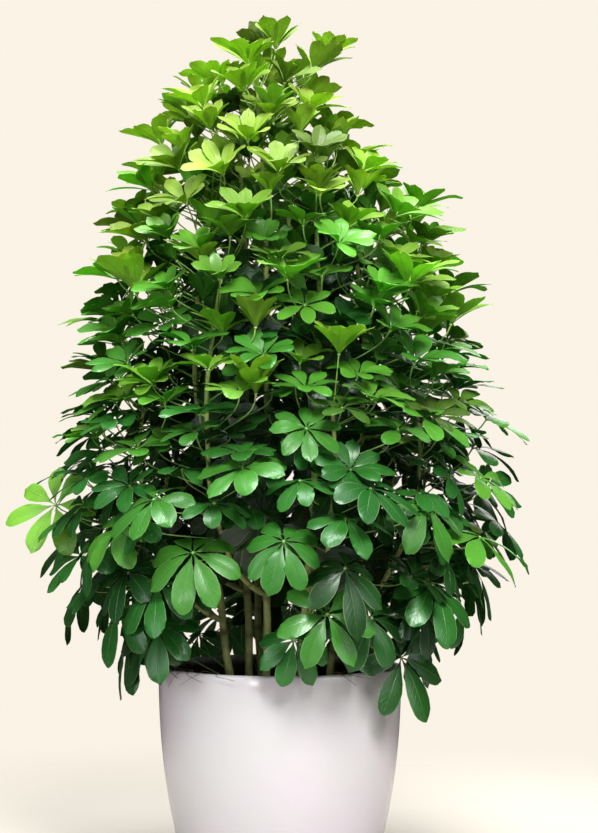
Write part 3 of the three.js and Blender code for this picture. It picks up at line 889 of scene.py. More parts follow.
def stalk_root(hub, branches, choice):
    """The place on the canes that carries a leaf: near its hub, and lower than it."""
    away = hub - branches.places
    reach = np.sqrt((away**2).sum(1))
    rise = away[:, 2] / np.maximum(reach, 1e-9)
    cost = reach * (1 + STALK_RISE_WEIGHT * np.abs(rise - STALK_RISE))
    cost[reach <= STALK_SHORTEST] = np.inf
    best = []
    for (owner, _), start, end in zip(branches.runs, branches.starts, branches.starts[1:]):
        index = start + int(np.argmin(cost[start:end]))
        best.append((cost[index], len(best), owner, index))
    _, _, owner, index = sorted(best)[choice]
    return {"owner": owner, "root": branches.places[index], "reach": float(reach[index])}


branches = all_branches(canes)
print("branches:", len(branches.runs), "with places for a root:", len(branches.places))

# %% [markdown]
# ## One try at a leaf
# Each leaf has a home, and tries up to sixty times to find a free place near it. A few draws move
# the try away from home, and turn and stretch it, and each later try may stray further. The order
# of the draws belongs to the rule: the construction model draws in the same order.

# %% Try a leaf
TRIES = 60
LEAFLETS_LEAST = 7
LEAFLETS_MOST = 8
# How far a first try may stray, and how much more the last one may.
STRAY = {
    "azimuth": (3, 11), "height": (4, 26), "inward": (0, 60), "tilt": (0, 10), "lean": (0, 12),
    "cup": (0, 6), "size": (0, 0.12), "branch": (1, 1.6),
}
CUP_LOOSE = 0.7
UNEVEN = 10
SIZE_SPREAD = 0.08
LEAFLET_TURN_SPREAD = 0.12
LEAFLET_SIZE_SPREAD = 0.05
LEAFLET_OUTER_GAIN = 0.13  # the leaflets that point outwards are longer


def leaf_try(home, attempt, branches, draw):
    """One try at a leaf. The tries stray further and further from home."""

    def swing():
        return 2 * draw() - 1

    def stray(name):
        first, more = STRAY[name]
        return first + more * attempt / TRIES

    azimuth = home.azimuth + swing() * stray("azimuth")
    height = home.height + swing() * stray("height")
    inward = draw() * stray("inward")
    tilt = home.tilt + swing() * (home.loose + stray("tilt"))
    lean = azimuth + swing() * (home.loose + stray("lean"))
    cup = home.cup + swing() * (home.loose * CUP_LOOSE + stray("cup"))
    size = home.size * (1 + SIZE_SPREAD * swing()) * (1 - stray("size"))
    count = LEAFLETS_LEAST + math.floor(draw() * (LEAFLETS_MOST + 1 - LEAFLETS_LEAST))
    spin = draw() * 2 * math.pi
    choice = math.floor(draw() * stray("branch"))
    leaflets = []
    for i in range(count):
        turn = spin + 2 * math.pi * (i + LEAFLET_TURN_SPREAD * swing()) / count
        outer = 1 - LEAFLET_OUTER_GAIN * (1 - math.cos(turn))
        leaflets.append((turn, size * outer * (1 + LEAFLET_SIZE_SPREAD * swing())))
    uneven = UNEVEN * swing()
    crown = profile_at(HUB_RADIUS, height) if home.radius is None else home.radius
    hub = leaned(polar(azimuth, max(crown * home.depth + uneven - inward, 0), height))
    frame = leaf_frame(lean, tilt)
    root = stalk_root(hub, branches, choice)
    return SimpleNamespace(
        hub=hub, cup=math.radians(cup), leaflets=leaflets, depth=home.depth, youth=home.youth,
        **frame, **root,
    )


# %% [markdown]
# ## Homes
# A home is where a leaf would like to be. Most lie on a spiral up the crown that turns by the golden
# angle from one leaf to the next, as real shoots do, and take their size, tilt and cup from the
# crown's profiles. The chosen ones at the front say all of that themselves.

# %% Homes on a spiral and chosen homes
GOLDEN_ANGLE = 137.508
SPIRAL_START = 345
HOME_LOOSE = 10  # degrees that a leaf may lean away from its home's tilt
FRONT_LOOSE = 2


def home_at(azimuth, height, depth=1.0, loose=HOME_LOOSE, size=1.0, steeper=0.0):
    """A home on the crown's profile, or inside it at a share of its radius."""
    return SimpleNamespace(
        azimuth=azimuth, height=height, radius=None, depth=depth, loose=loose, youth=None,
        size=profile_at(LEAF_SIZE, height) * size, tilt=profile_at(LEAF_TILT, height) + steeper,
        cup=profile_at(LEAF_CUP, height),
    )


def chosen_home(across, height, size, tilt, cup, youth):
    """A home at the front, given by how far across it lies."""
    aside = across - profile_at(CROWN_LEAN, height)
    radius = max(profile_at(HUB_RADIUS, height), abs(aside))
    azimuth = 360 - math.degrees(math.acos(aside / radius))
    return SimpleNamespace(
        azimuth=azimuth, height=height, radius=radius, depth=1.0, loose=FRONT_LOOSE,
        size=size, tilt=tilt, cup=cup, youth=youth,
    )


def spiral_homes(spacing=1.0, azimuth=0.0, depth=1.0, start=SPIRAL_START, gap=GAP, **kind):
    """Homes up the crown. spacing is a share of the usual distance between leaves."""
    height = start
    while height < HUB_RADIUS[-1][0]:
        if not (gap["from"] < azimuth < gap["to"] and height < gap["top"]):
            yield home_at(azimuth, height, depth, **kind)
        radius = profile_at(HUB_RADIUS, height)
        slope = profile_at(HUB_RADIUS, height + 1) - radius
        area = (profile_at(LEAF_SPACING, height) * spacing) ** 2
        height += area / (2 * math.pi * radius * depth * math.hypot(1, slope))
        azimuth = (azimuth + GOLDEN_ANGLE) % 360


homes = [chosen_home(*row) for row in FRONT_LEAVES] + list(spiral_homes())
print("homes:", len(homes))

# %% [markdown]
# ## Grow the outer leaves
# Now the rule runs: the canes stand first, then the chosen leaves take their places, and then those
# of the spiral. The count printed below is the same as in the construction model.

# %% Grow the outer leaves
STALK_LONGEST = 185
ROOM_BLADE = 12
LEAFLET_MARKS = ((0.3, 0), (0.5, -0.7), (0.5, 0.7), (0.75, -1), (0.75, 0), (0.75, 1), (1, 0))
SEED = 20261


def grow(homes, branches, standing, draw, clearance, blocked):
    """Gives each home a leaf where there is room, and adds it to what stands."""
    grown = []
    for home in homes:
        for attempt in range(TRIES):
            leaf = leaf_try(home, attempt, branches, draw)
            if leaf.reach > STALK_LONGEST:
                continue
            found = leaf_marks(leaf, *clearance)
            if any(blocked(mark) for mark in found) or standing.meets(found, leaf.owner):
                continue
            standing.add(found, leaf.owner)
            grown.append(leaf)
            break
    return grown


draw = seeded_draws(SEED)
standing = Crowd()
for owner, points in branches.runs:
    standing.add([(*point, ROOM_CANE, True) for point in points.tolist()], owner)
clearance = (LEAFLET_MARKS, ROOM_BLADE, ROOM_STALK)
outer_leaves = grow(homes, branches, standing, draw, clearance, touches_pot)
print("leaves of the construction model:", len(outer_leaves))

# %% [markdown]
# ## Umbrellas that settle
# A leaf's weight pulls it into the shape that gave the plant its name. Low, old leaves have settled
# most: the plane stays closer to level and the leaflets hang down all round. Half way up a leaf is a
# half open funnel. High up it is the other way: a young leaf still stands as a cup, leans out a
# little and opens, like a hand held up to the light, and its leaflets are a bit longer. A few leaves
# shape the outline or hide the canes, so they are set one by one instead. An empty row leaves one as
# it grew. One leaf also hangs lower than its plain one, over the rim.

# %% Settle the outer leaves
SETTLED_TILT = ((350, -13), (600, -17), (740, -18), (900, -9), (1020, 4), (1200, 8), (1290, 0))
SETTLED_CUP = ((350, -13), (600, -17), (740, 4), (900, 6), (1020, -4), (1200, -7), (1290, 0))
SETTLED_SIZE = ((900, 1), (1100, 1.10), (1300, 1.15))
SETTLE_SEED = 4241
SETTLE_LEAST = 0.7  # no leaf has settled less than this share of the profile
SETTLE_MORE = 0.5
# Leaves set one by one: (across, height), and the azimuth that one faces, its tilt, cup, size and drop.
SET_BY_EYE = {
    (80, 431): {},
    (50, 700): {},
    (-290, 520): {},
    (-352, 580): {"towards": 244, "tilt": 60, "cup": 2},
    (182, 395): {"towards": 303, "tilt": 76, "cup": 6, "drop": 42},
    (-268, 866): {"towards": 200, "tilt": 22, "cup": 12, "size": 1.08},
    (304, 669): {"towards": 345, "tilt": 28, "cup": 12, "size": 1.15},
}


def settle(leaf, share):
    angle = math.radians(profile_at(SETTLED_TILT, leaf.hub[2]) * share)
    axis, ahead = leaf.axis, leaf.ahead
    leaf.axis = axis * math.cos(angle) + ahead * math.sin(angle)
    leaf.ahead = ahead * math.cos(angle) - axis * math.sin(angle)
    leaf.cup += math.radians(profile_at(SETTLED_CUP, leaf.hub[2]) * share)
    grown = profile_at(SETTLED_SIZE, leaf.hub[2])
    leaf.leaflets = [(turn, length * grown) for turn, length in leaf.leaflets]


def set_by_eye(leaf, towards=None, tilt=0, cup=0, size=1.0, drop=0):
    if towards is not None:
        vars(leaf).update(leaf_frame(towards, tilt), cup=math.radians(cup))
    leaf.leaflets = [(turn, length * size) for turn, length in leaf.leaflets]
    leaf.hub = leaf.hub - UP * drop
    leaf.reach = math.dist(leaf.hub, leaf.root)


def nearest_leaf(place):
    """The outer leaf nearest to a place in the front view. One behind the middle counts as far."""

    def away(leaf):
        return math.dist((leaf.hub[0], leaf.hub[2]), place) + max(leaf.hub[1], 0)

    return min(outer_leaves, key=away)


settle_draw = seeded_draws(SETTLE_SEED)
by_eye = []
for place, changes in SET_BY_EYE.items():
    by_eye.append(nearest_leaf(place))
    set_by_eye(by_eye[-1], **changes)
for leaf in outer_leaves:
    if not any(leaf is chosen for chosen in by_eye):
        settle(leaf, SETTLE_LEAST + SETTLE_MORE * settle_draw())
print("set by eye:", [leaf.hub.round().tolist() for leaf in by_eye])

# %% [markdown]
# ## Leaves between and inside
# The plain model can only afford the leaves that shape the bush. A real one has a few times as many:
# between the outer leaves, and in the shade behind them, where they darken the gaps. They grow by
# the same rule with a little less room, because their blades are thinner here. The rings of homes go
# inwards, and the leaves of the inner ones are steeper, so that they close the view between the
# outer ones. Some homes have no room left, and stay empty.

# %% Leaves for the gaps
CLOSE_MARKS = (
    (0.3, 0), (0.45, -0.6), (0.45, 0.6), (0.62, -1), (0.62, 0), (0.62, 1),
    (0.82, -0.9), (0.82, 0), (0.82, 0.9), (1, -0.3), (1, 0.3),
)
CLOSE_CLEARANCE = (CLOSE_MARKS, 5, 3, 0.16)  # room for a blade, for a stalk, and the leaflets' sag
WIDE_GAP = {"from": 232, "to": 306, "top": 545}
# More leaves with a chosen home: (across, height, size, tilt, cup, youth)
CLOSE_LEAVES = (
    (332, 716, 84, 30, 10, 0.5), (-62, 1278, 62, 18, 46, 0.9), (62, 1282, 62, 16, 46, 0.9),
    (8, 1262, 60, 24, 44, 0.9), (-118, 1150, 70, 20, 40, 0.85), (-20, 1236, 62, 22, 42, 0.9),
)
# Rings of homes: depth in the crown, spacing, first azimuth, looseness, lowest height, size, steeper by
FILL_RINGS = (
    (1.00, 0.62, 60, 20, 680, 0.88, -10),
    (0.95, 0.76, 60, 32, 380, 0.85, -14),
    (0.84, 0.66, 20, 32, 450, 0.90, -6),
    (0.78, 0.60, 10, 25, 960, 0.90, 0),
    (0.70, 0.70, 200, 25, 620, 1.05, 30),
    (0.66, 0.60, 100, 25, 470, 1.10, 24),
    (0.55, 0.66, 140, 25, 900, 1.05, 30),
    (0.48, 0.62, 40, 25, 500, 1.10, 40),
)

close = Crowd()
for owner, points in branches.runs:
    close.add([(*point, CLOSE_CLEARANCE[1], True) for point in points.tolist()], owner)
for leaf in outer_leaves:
    close.add(leaf_marks(leaf, *CLOSE_CLEARANCE), leaf.owner)
homes = [chosen_home(*row) for row in CLOSE_LEAVES]
for depth, spacing, azimuth, loose, start, size, steeper in FILL_RINGS:
    looks = {"loose": loose, "size": size, "steeper": steeper}
    homes += spiral_homes(spacing, azimuth, depth, start, gap=WIDE_GAP, **looks)
inner_leaves = grow(homes, branches, close, draw, CLOSE_CLEARANCE, touches_wall)
print("with a chosen home:", [leaf.hub.round().tolist() for leaf in inner_leaves if leaf.youth is not None])
for leaf in outer_leaves + inner_leaves:
    canes[leaf.owner].leaves.append(leaf)
print("leaves added between and inside:", len(inner_leaves))

# %% [markdown]
# ## Meshes that are built in one go
# A bush has hundreds of thousands of faces, and adding them one at a time is slow. So each piece is
# collected in a basket: blocks of points, faces and the numbers that the materials read. At the end
# the basket becomes one mesh.

# %% The basket


class Basket:
    """Collects blocks of points and faces, and makes one object of them."""

    def __init__(self, stored):
        self.stored = {name: [] for name in stored}
        self.points, self.faces, self.kinds, self.count = [], [], [], 0

    def add(self, points, faces, kinds, **stored):
        """points in millimetres, faces as rows of four indices, and kinds as material numbers."""
        self.points.append(np.asarray(points, float))
        self.faces.append(np.asarray(faces) + self.count)
        self.kinds.append(np.broadcast_to(kinds, len(faces)))
        for name, values in stored.items():
            self.stored[name].append(np.broadcast_to(values, (len(points), 3)))
        self.count += len(points)

    def make(self, name, materials, sharp=60):
        mesh = bpy.data.meshes.new(name)
        faces = [tuple(dict.fromkeys(row)) for row in np.concatenate(self.faces).tolist()]
        mesh.from_pydata((np.concatenate(self.points) * MM).tolist(), [], faces)
        for material in materials:
            mesh.materials.append(material)
        mesh.polygons.foreach_set("material_index", np.concatenate(self.kinds).astype(np.int32))
        for label, blocks in self.stored.items():
            layer = mesh.attributes.new(label, "FLOAT_VECTOR", "POINT")
            layer.data.foreach_set("vector", np.concatenate(blocks).astype(np.float32).ravel())
        mesh.shade_smooth()
        mesh.set_sharp_from_angle(angle=math.radians(sharp))
        mesh.validate()
        piece = bpy.data.objects.new(name, mesh)
        bpy.context.scene.collection.objects.link(piece)
        return piece


# %% [markdown]
# ## Rings and tubes
# Stalks, canes and strands are tubes: a ring of points round each place of a middle line. Each ring
# is turned as little as possible from the one before, so that a tube doesn't twist. Quads join each
# ring to the next. The pot and the soil are joined up the same way, with all their rings round one
# axis.

# %% Rings and tubes


def ring_faces(rings, sides):
    """Quads between rings of points. Each ring's last point is joined to its first."""
    faces = []
    for ring in range(rings - 1):
        for side in range(sides):
            a, b = ring * sides + side, ring * sides + (side + 1) % sides
            faces.append((a, b, b + sides, a + sides))
    return faces


def smooth_step(value, low, high):
    t = np.clip((value - low) / (high - low), 0, 1)
    return t * t * (3 - 2 * t)


def tube(centres, radii, sides):
    """Rings of points round each place of a line."""
    ahead = np.gradient(centres, axis=0)
    ahead /= np.linalg.norm(ahead, axis=1, keepdims=True)
    side = np.cross(ahead[0], UP if abs(ahead[0][2]) < 0.9 else (1.0, 0.0, 0.0))
    angles = 2 * math.pi * np.arange(sides) / sides
    rings = []
    for centre, radius, way in zip(centres, radii, ahead):
        side = side - way * side.dot(way)
        side /= np.linalg.norm(side)
        other = np.cross(way, side)
        spokes = np.outer(np.cos(angles), side) + np.outer(np.sin(angles), other)
        rings.append(centre + spokes * radius)
    return np.concatenate(rings)


def tube_faces(rings, sides):
    """The wall of a tube, closed at both ends by its first and last ring."""
    last = (rings - 1) * sides
    faces = ring_faces(rings, sides)
    for corner in range(1, sides - 1, 2):
        beyond = min(corner + 2, sides - 1)
        faces.append((0, beyond, corner + 1, corner))
        faces.append((last, last + corner, last + corner + 1, last + beyond))
    return faces


# %% [markdown]
# ## The leaflet
# A leaflet is widest past its middle and blunt at its tip, sometimes with a small notch. It is
# folded a little along its midrib, arched along its length, and its edge waves. All of that is one
# formula over a grid: rows along the leaflet and columns across it. The upper and lower faces share
# the points of the outline, so each blade is a thin closed lens, about as thick as a real one.

# %% A leaflet's outline and blade
STEM_SHARE = 0.05  # of the length is a bare little stalk
STEM_HALF_WIDTH = 0.8
BASE_POWER = 1.5  # how wedge-shaped the base is
TIP_POWER = 2.5  # how blunt the tip is
TIP_SHARE = 0.30  # of the half width is left at the very tip
TIP_ROUNDING = 0.035  # of the length
TIP_FROM = 0.8  # of the length: the tip begins here
DROOP_POWER = 2.5  # most of a leaflet's droop is near its tip
BLADE_THICKNESS = 0.6
RIB_DEPTH = 0.7
RIB_HALF_WIDTH = 1.1
RIB_GROOVE = 0.25  # in the upper face
FOLD_ROUNDING = 2  # the fold is round this far from the midrib
LEAFY = (0.02, 0.24)  # of the length: the stalk opens into the blade here


def blade_grid(rows, columns):
    """A leaflet's grid, its faces and their sides. The lower face shares the upper one's outline."""
    u, v = np.meshgrid(rows, columns, indexing="ij")
    upper = np.arange(u.size).reshape(u.shape)
    lower = upper.copy()
    inside = lower[1:-1, 1:-1]
    inside[:] = u.size + np.arange(inside.size).reshape(inside.shape)

    def quads(grid):
        corners = (grid[:-1, :-1], grid[1:, :-1], grid[1:, 1:], grid[:-1, 1:])
        return np.stack([corner.ravel() for corner in corners], 1)

    faces = np.concatenate((quads(upper)[:, ::-1], quads(lower)))
    return SimpleNamespace(u=u, v=v, faces=faces, kinds=np.repeat((0, 1), len(faces) // 2))


FINE_GRID = blade_grid(
    (0, 0.07, 0.17, 0.29, 0.43, 0.58, 0.73, 0.86, 0.95, 1),
    (-1, -0.62, -0.18, 0, 0.18, 0.62, 1),
)
SHADED_GRID = blade_grid((0, 0.1, 0.24, 0.40, 0.57, 0.75, 0.91, 1), (-1, -0.5, 0, 0.5, 1))
DEEP_GRID = blade_grid((0, 0.12, 0.32, 0.62, 0.88, 1), (-1, 0, 1))


def blade_shape(grid, length, form):
    """The leaflet's upper and lower points in its own frame: along, across and up."""
    u, v = grid.u, grid.v
    leafy = smooth_step(u, *LEAFY)
    rising = np.clip((u - STEM_SHARE) / (form.widest - STEM_SHARE), 0, 1)
    falling = np.clip((u - form.widest) / (1 - form.widest), 0, 1)
    width = np.sin(math.pi / 2 * rising) ** BASE_POWER
    width *= np.sqrt(1 - (1 - TIP_SHARE**2) * falling**TIP_POWER)
    width = np.maximum(width * length * form.half_width, STEM_HALF_WIDTH)
    end = smooth_step(u, TIP_FROM, 1.0)
    x = length * (u - TIP_ROUNDING * v**2 * end + form.tip * (1 - np.abs(v)) ** 2 * end)
    y = width * v + length * form.sway * u**2
    z = form.fold * (np.sqrt((width * v) ** 2 + FOLD_ROUNDING**2) - FOLD_ROUNDING)
    z -= form.dome * (width * v) ** 2 / length
    z += length * (form.arch * 4 * u * (1 - u) - form.droop * u**DROOP_POWER)
    z += length * form.wave * np.sin(2 * math.pi * (form.waves * u) + form.phase * np.sign(v)) * v**2
    z += width * v * math.tan(form.twist) * u
    thick = BLADE_THICKNESS / 2 * (1 - v**4) + (0.5 * (1 - leafy)) * (1 - v**2)
    rib = np.exp(-((width * v / RIB_HALF_WIDTH) ** 2)) * (1 - u) * leafy
    upper = np.stack((x, y, z + thick - RIB_GROOVE * rib), -1)
    lower = np.stack((x, y, z - thick - RIB_DEPTH * rib), -1)
    return upper, lower, np.stack((u, v, np.full_like(u, form.seed)), -1)


print("faces in a leaflet:", len(FINE_GRID.faces), "or in the shade:", len(SHADED_GRID.faces))

# %% [markdown]
# ## How each leaf is dressed
# No two leaves are alike. Old, low leaves hang and fold little, and young ones are channelled and
# hold their leaflets up. A second set of draws gives every leaf its youth, shade and form, without
# disturbing the draws that placed it.

# %% Forms and ages
YOUTH = ((330, 0.05), (500, 0.18), (650, 0.31), (800, 0.48), (950, 0.66), (1100, 0.84), (1300, 0.96))
INNER_REACH = 280  # this far inside the crown, a leaf has no youth left
YOUTH_SPREAD = 0.13
BRIGHT_SHARE = 0.30  # of the outer leaves are fresh ones among older ones
BRIGHT_GAIN = (0.10, 0.30)  # and this much younger, or less where they grow low
BRIGHT_HEIGHT = 800
OLIVE_SHARE = 0.09
YOUNGEST = 0.94
SHAPE_SEED = 7919

shape_draw = seeded_draws(SHAPE_SEED)


def between(low, high):
    return low + (high - low) * shape_draw()


def leaf_age(leaf):
    """How young a leaf is, from its height, its depth in the crown and a draw."""
    if leaf.youth is not None:
        return leaf.youth
    youth = profile_at(YOUTH, leaf.hub[2]) + between(-YOUTH_SPREAD, YOUTH_SPREAD)
    if shape_draw() < BRIGHT_SHARE and leaf.depth == 1.0:
        youth += between(*BRIGHT_GAIN) * min(leaf.hub[2] / BRIGHT_HEIGHT, 1)
    inward = (1 - leaf.depth) * profile_at(HUB_RADIUS, leaf.hub[2])
    return min(max(youth - inward / INNER_REACH, 0.0), YOUNGEST)


def leaflet_form(youth):
    """The draws that make one leaflet differ from the next."""
    return SimpleNamespace(
        widest=between(0.60, 0.70),
        half_width=between(0.187, 0.212) + 0.03 * (1 - youth),
        tip=between(-0.02, 0.035),
        fold=between(-0.04, 0.12) + 0.17 * youth,
        dome=between(0.1, 1.3) * (1 - youth),
        arch=between(0.02, 0.08),
        droop=between(0.04, 0.13) * (1.4 - youth),
        sag=between(0.04, 0.16) * (1.15 - youth),
        sway=between(-0.05, 0.05),
        wave=between(0.003, 0.016),
        waves=between(1.0, 2.2),
        phase=between(0.4, 2.6),
        twist=math.radians(between(-20, 20)),
        share=1.03 - between(0, 0.10) - between(0, 0.14) * (1 - youth),
        seed=shape_draw(),  # kept with the mesh; no finish reads it
    )


# %% [markdown]
# ## From leaflets to a leafy cane
# Each leaflet's grid is turned into the leaf's frame: along its own direction, across it, and square
# to both. The stalk is a thin tube, a little thicker at the cane and under the hub, and a small knob
# covers the place where the leaflets meet.

# %% Leaves and stalks
STALK_RADIUS = 1.05
STALK_FOOT_SWELL = 0.9
STALK_FOOT_FADE = 14  # how soon that swelling is over
STALK_TOP_SWELL = 0.35
STALK_TOP_FROM = 0.85
STALK_STRAIGHT = 0.45  # of its way: a stalk is straight, and turns only below its hub
STALK_LAST_BEND = 0.26  # of the reach
STALK_SIDES = 6
STALK_RINGS = 9
# Painted shade: a leaf deep in the crown is darkened, down to this share of its lightness.
PAINTED_SHADE_IN_CROWN = 0.14  # of its lightness is left to a leaf right inside the crown
SHADES = (0.82, 1.18)
LEAFLET_SHADES = (0.88, 1.12)
LEAFLET_LIFT = 9  # degrees that it may stand higher or lower than its leaf's cup
YOUNG_LIFT = 4  # degrees more for the youngest
OLIVE_LEAF = (0.3, 0.8)  # how olive the leaves are that turn, and the others
GREEN_LEAF = (0, 0.06)
KNOB_RADIUS = 2.7
KNOB_SIDES = 8
KNOB_RINGS = 5
KNOB_FLAT = 0.8  # as high as wide
KNOB_CLOSED = 0.46  # of half a turn, from its middle to its last ring
FINE_DEPTH = 0.96  # leaves further out than this share of the crown get the finest grid
SHADED_DEPTH = 0.7


def leaflet_axes(leaf, turn, rise):
    """The leaflet's own directions: along it, across it, and up from its face."""
    flat = leaf.ahead * math.cos(turn) + leaf.across * math.sin(turn)
    along = flat * math.cos(rise) + leaf.axis * math.sin(rise)
    side = leaf.across * math.cos(turn) - leaf.ahead * math.sin(turn)
    return np.stack((along, side, np.cross(along, side)))


def add_leaflet(basket, leaf, turn, length, growth, grid):
    form = leaflet_form(growth[0])
    length *= form.share
    rise = leaf.cup + math.radians(between(-LEAFLET_LIFT, LEAFLET_LIFT) + YOUNG_LIFT * growth[0])
    upper, lower, stored = blade_shape(grid, length, form)
    inside = lower[1:-1, 1:-1].reshape(-1, 3)
    kept = np.concatenate((stored.reshape(-1, 3), stored[1:-1, 1:-1].reshape(-1, 3)))
    points = np.concatenate((upper.reshape(-1, 3), inside)) @ leaflet_axes(leaf, turn, rise)
    points += leaf.hub - np.outer(form.sag * length * kept[:, 0] ** 2, UP)
    tone = (growth[0], growth[1] * between(*LEAFLET_SHADES), growth[2])
    basket.add(points, grid.faces, grid.kinds, leaflet=kept, growth=tone)


def add_stalk(basket, leaf, growth):
    t = np.linspace(0, 1, STALK_RINGS)
    swell = STALK_FOOT_SWELL * np.exp(-t * STALK_FOOT_FADE)
    swell += STALK_TOP_SWELL * smooth_step(t, STALK_TOP_FROM, 1.0)
    radii = STALK_RADIUS * (1 + swell)
    straight = leaf.root + (leaf.hub - leaf.root) * STALK_STRAIGHT
    corners = (leaf.root, straight, leaf.hub - leaf.axis * (STALK_LAST_BEND * leaf.reach), leaf.hub)
    points = tube(bezier(corners, t), radii, STALK_SIDES)
    kept = np.zeros((len(points), 3))
    kept[:, 0] = np.repeat(t, STALK_SIDES)
    faces = tube_faces(STALK_RINGS, STALK_SIDES)
    basket.add(points, faces, 2, leaflet=kept, growth=growth)


def add_knob(basket, leaf, growth):
    angles = np.linspace(-KNOB_CLOSED, KNOB_CLOSED, KNOB_RINGS) * math.pi
    centres = leaf.hub + np.outer(np.sin(angles) * KNOB_RADIUS * KNOB_FLAT, leaf.axis)
    points = tube(centres, np.cos(angles) * KNOB_RADIUS, KNOB_SIDES)
    faces = tube_faces(KNOB_RINGS, KNOB_SIDES)
    basket.add(points, faces, 2, leaflet=(0.8, 0, 0), growth=growth)


def add_leaf(basket, leaf):
    # A leaf is darker the deeper it lies in the crown: painted shade, on top of a random tone.
    shade = between(*SHADES) * (PAINTED_SHADE_IN_CROWN + (1 - PAINTED_SHADE_IN_CROWN) * leaf.depth**2)
    turns = shape_draw() < OLIVE_SHARE and leaf.youth is None
    olive = between(*(OLIVE_LEAF if turns else GREEN_LEAF))
    growth = (leaf_age(leaf), shade, olive)
    grid = FINE_GRID if leaf.depth > FINE_DEPTH else SHADED_GRID if leaf.depth > SHADED_DEPTH else DEEP_GRID
    for turn, length in leaf.leaflets:
        add_leaflet(basket, leaf, turn, length, growth, grid)
    add_stalk(basket, leaf, growth)
    add_knob(basket, leaf, growth)


# %% [markdown]
# ## Growing tips
# At the end of every branch sits a bud with the next leaves round it, still small and pressed
# upright together. They are leaves like the others, only short and steep, with no stalk yet.

# %% Tips
TIP_LEAFLETS = 5
TIP_TIERS = ((0.0, 58), (4.0, 74))  # millimetres past the branch's end, and how far they rise
TIP_LENGTHS = (16, 30)
TIP_SHADES = (0.9, 1.1)
TIP_YOUTH = 0.9  # of the youth that leaves have at its height


def add_tip(basket, corners, youth):
    ahead = corners[3] - corners[2]
    axis = ahead / np.linalg.norm(ahead)
    side = np.cross(axis, (1.0, 0.0, 0.0))
    side /= np.linalg.norm(side)
    growth = (youth, between(*TIP_SHADES), 0.0)
    for level, rise in TIP_TIERS:
        leaf = SimpleNamespace(
            hub=corners[3] + axis * level, axis=axis, ahead=side, across=np.cross(axis, side),
            cup=math.radians(rise),
        )
        start = between(0, 2 * math.pi)
        for i in range(TIP_LEAFLETS):
            turn = start + 2 * math.pi * i / TIP_LEAFLETS
            add_leaflet(basket, leaf, turn, between(*TIP_LENGTHS), growth, SHADED_GRID)


# %% [markdown]
# ## One leafy piece for each cane
# All leaves, stalks and tips of a cane become one piece with three materials: the upper side, the
# under side and the stalk. That is how the construction model has its canes, and eight pieces are
# easier to handle than six hundred.

# %% Make the leaves
leaf_pieces = []
for cane in canes:
    basket = Basket(("leaflet", "growth"))
    for leaf in cane.leaves:
        add_leaf(basket, leaf)
    for corners in cane.curves:
        add_tip(basket, corners, profile_at(YOUTH, corners[3][2]) * TIP_YOUTH)
    piece = basket.make(cane.name.replace("_cane", "_leaves"), (leaf_face, leaf_back, leaf_stalk))
    leaf_pieces.append(piece)
    print(piece.name, "leaves:", len(cane.leaves), "faces:", len(piece.data.polygons))

# %% [markdown]
# ## The canes
# A cane isn't a smooth pipe: it thickens at each ring where a leaf once grew, and it stands a little
# crooked between them. The tube below follows the cane's curve in short steps, and its radius swells
# at each ring. The mesh keeps each point's height and how near it is to a ring, for the bark.

# %% Canes with their rings
CANE_SIDES = 12
CANE_STEP = 7
RING_SPACING = 31
RING_SWELL = 0.17
RING_FROM = 0.80  # of the way to the next ring: the swelling starts there
CANE_END = (0.8, 0.35)  # the last two rings close a cane
RING_SHIFT = 0.37  # from cane to cane, so that their rings lie at different heights
CROOKED = 1.1
CROOKED_WAVES = (23, 29)  # how long its bends are, across and in depth


def add_cane(basket, corners, foot, tip, phase):
    span = np.linalg.norm(np.diff(bezier(corners, np.linspace(0, 1, 50)), axis=0), axis=1).sum()
    steps = round(span / CANE_STEP)
    t = np.linspace(0, 1, steps + 1)
    run = t * span
    near = np.abs((run / RING_SPACING + phase) % 1 - 0.5) * 2
    ring = smooth_step(near, RING_FROM, 1.0)
    radii = (foot + (tip - foot) * t) * (1 + RING_SWELL * ring)
    radii[-2:] *= CANE_END
    centres = bezier(corners, t)
    wide, deep = CROOKED_WAVES
    centres[:, 0] += CROOKED * np.sin(run / wide + phase * 9)
    centres[:, 1] += CROOKED * np.cos(run / deep + phase * 5)
    points = tube(centres, radii, CANE_SIDES)
    kept = np.stack((centres[:, 2] * MM, ring, np.zeros(len(t))), 1)
    kept = np.repeat(kept, CANE_SIDES, axis=0)
    basket.add(points, tube_faces(len(t), CANE_SIDES), 0, cane=kept)


cane_pieces = []
for number, cane in enumerate(canes):
    basket = Basket(("cane",))
    main, shoot = cane.curves
    add_cane(basket, main, CANE_FOOT_RADIUS, CANE_TIP_RADIUS, RING_SHIFT * number)
    add_cane(basket, shoot, SHOOT_FOOT_RADIUS, CANE_TIP_RADIUS, RING_SHIFT * number + 0.5)
    cane_pieces.append(basket.make(cane.name.replace("_cane", "_bark"), (cane_bark,)))
print("cane pieces:", len(cane_pieces))

# %% [markdown]
# ## The pot
# A pot like this is round all over, so one outline turned about its axis makes it: up the outer side,
# over the rim and down the inside. The side is almost upright at the rim and draws in towards the
# foot. The rim and the foot's edge are rounded, as glaze can't cover a sharp edge.

# %% Turn the pot
POT_SIDES = 144
LIP_RADIUS = 4
FOOT_STEPS = 7
LIP_STEPS = 9
OUTSIDE_STEPS = 26
INSIDE_STEPS = 20


def pot_radius(height):
    tuck = (POT_RIM_RADIUS - POT_FOOT_RADIUS) * (1 - height / POT_HEIGHT) ** POT_CURVE
    return POT_RIM_RADIUS - tuck


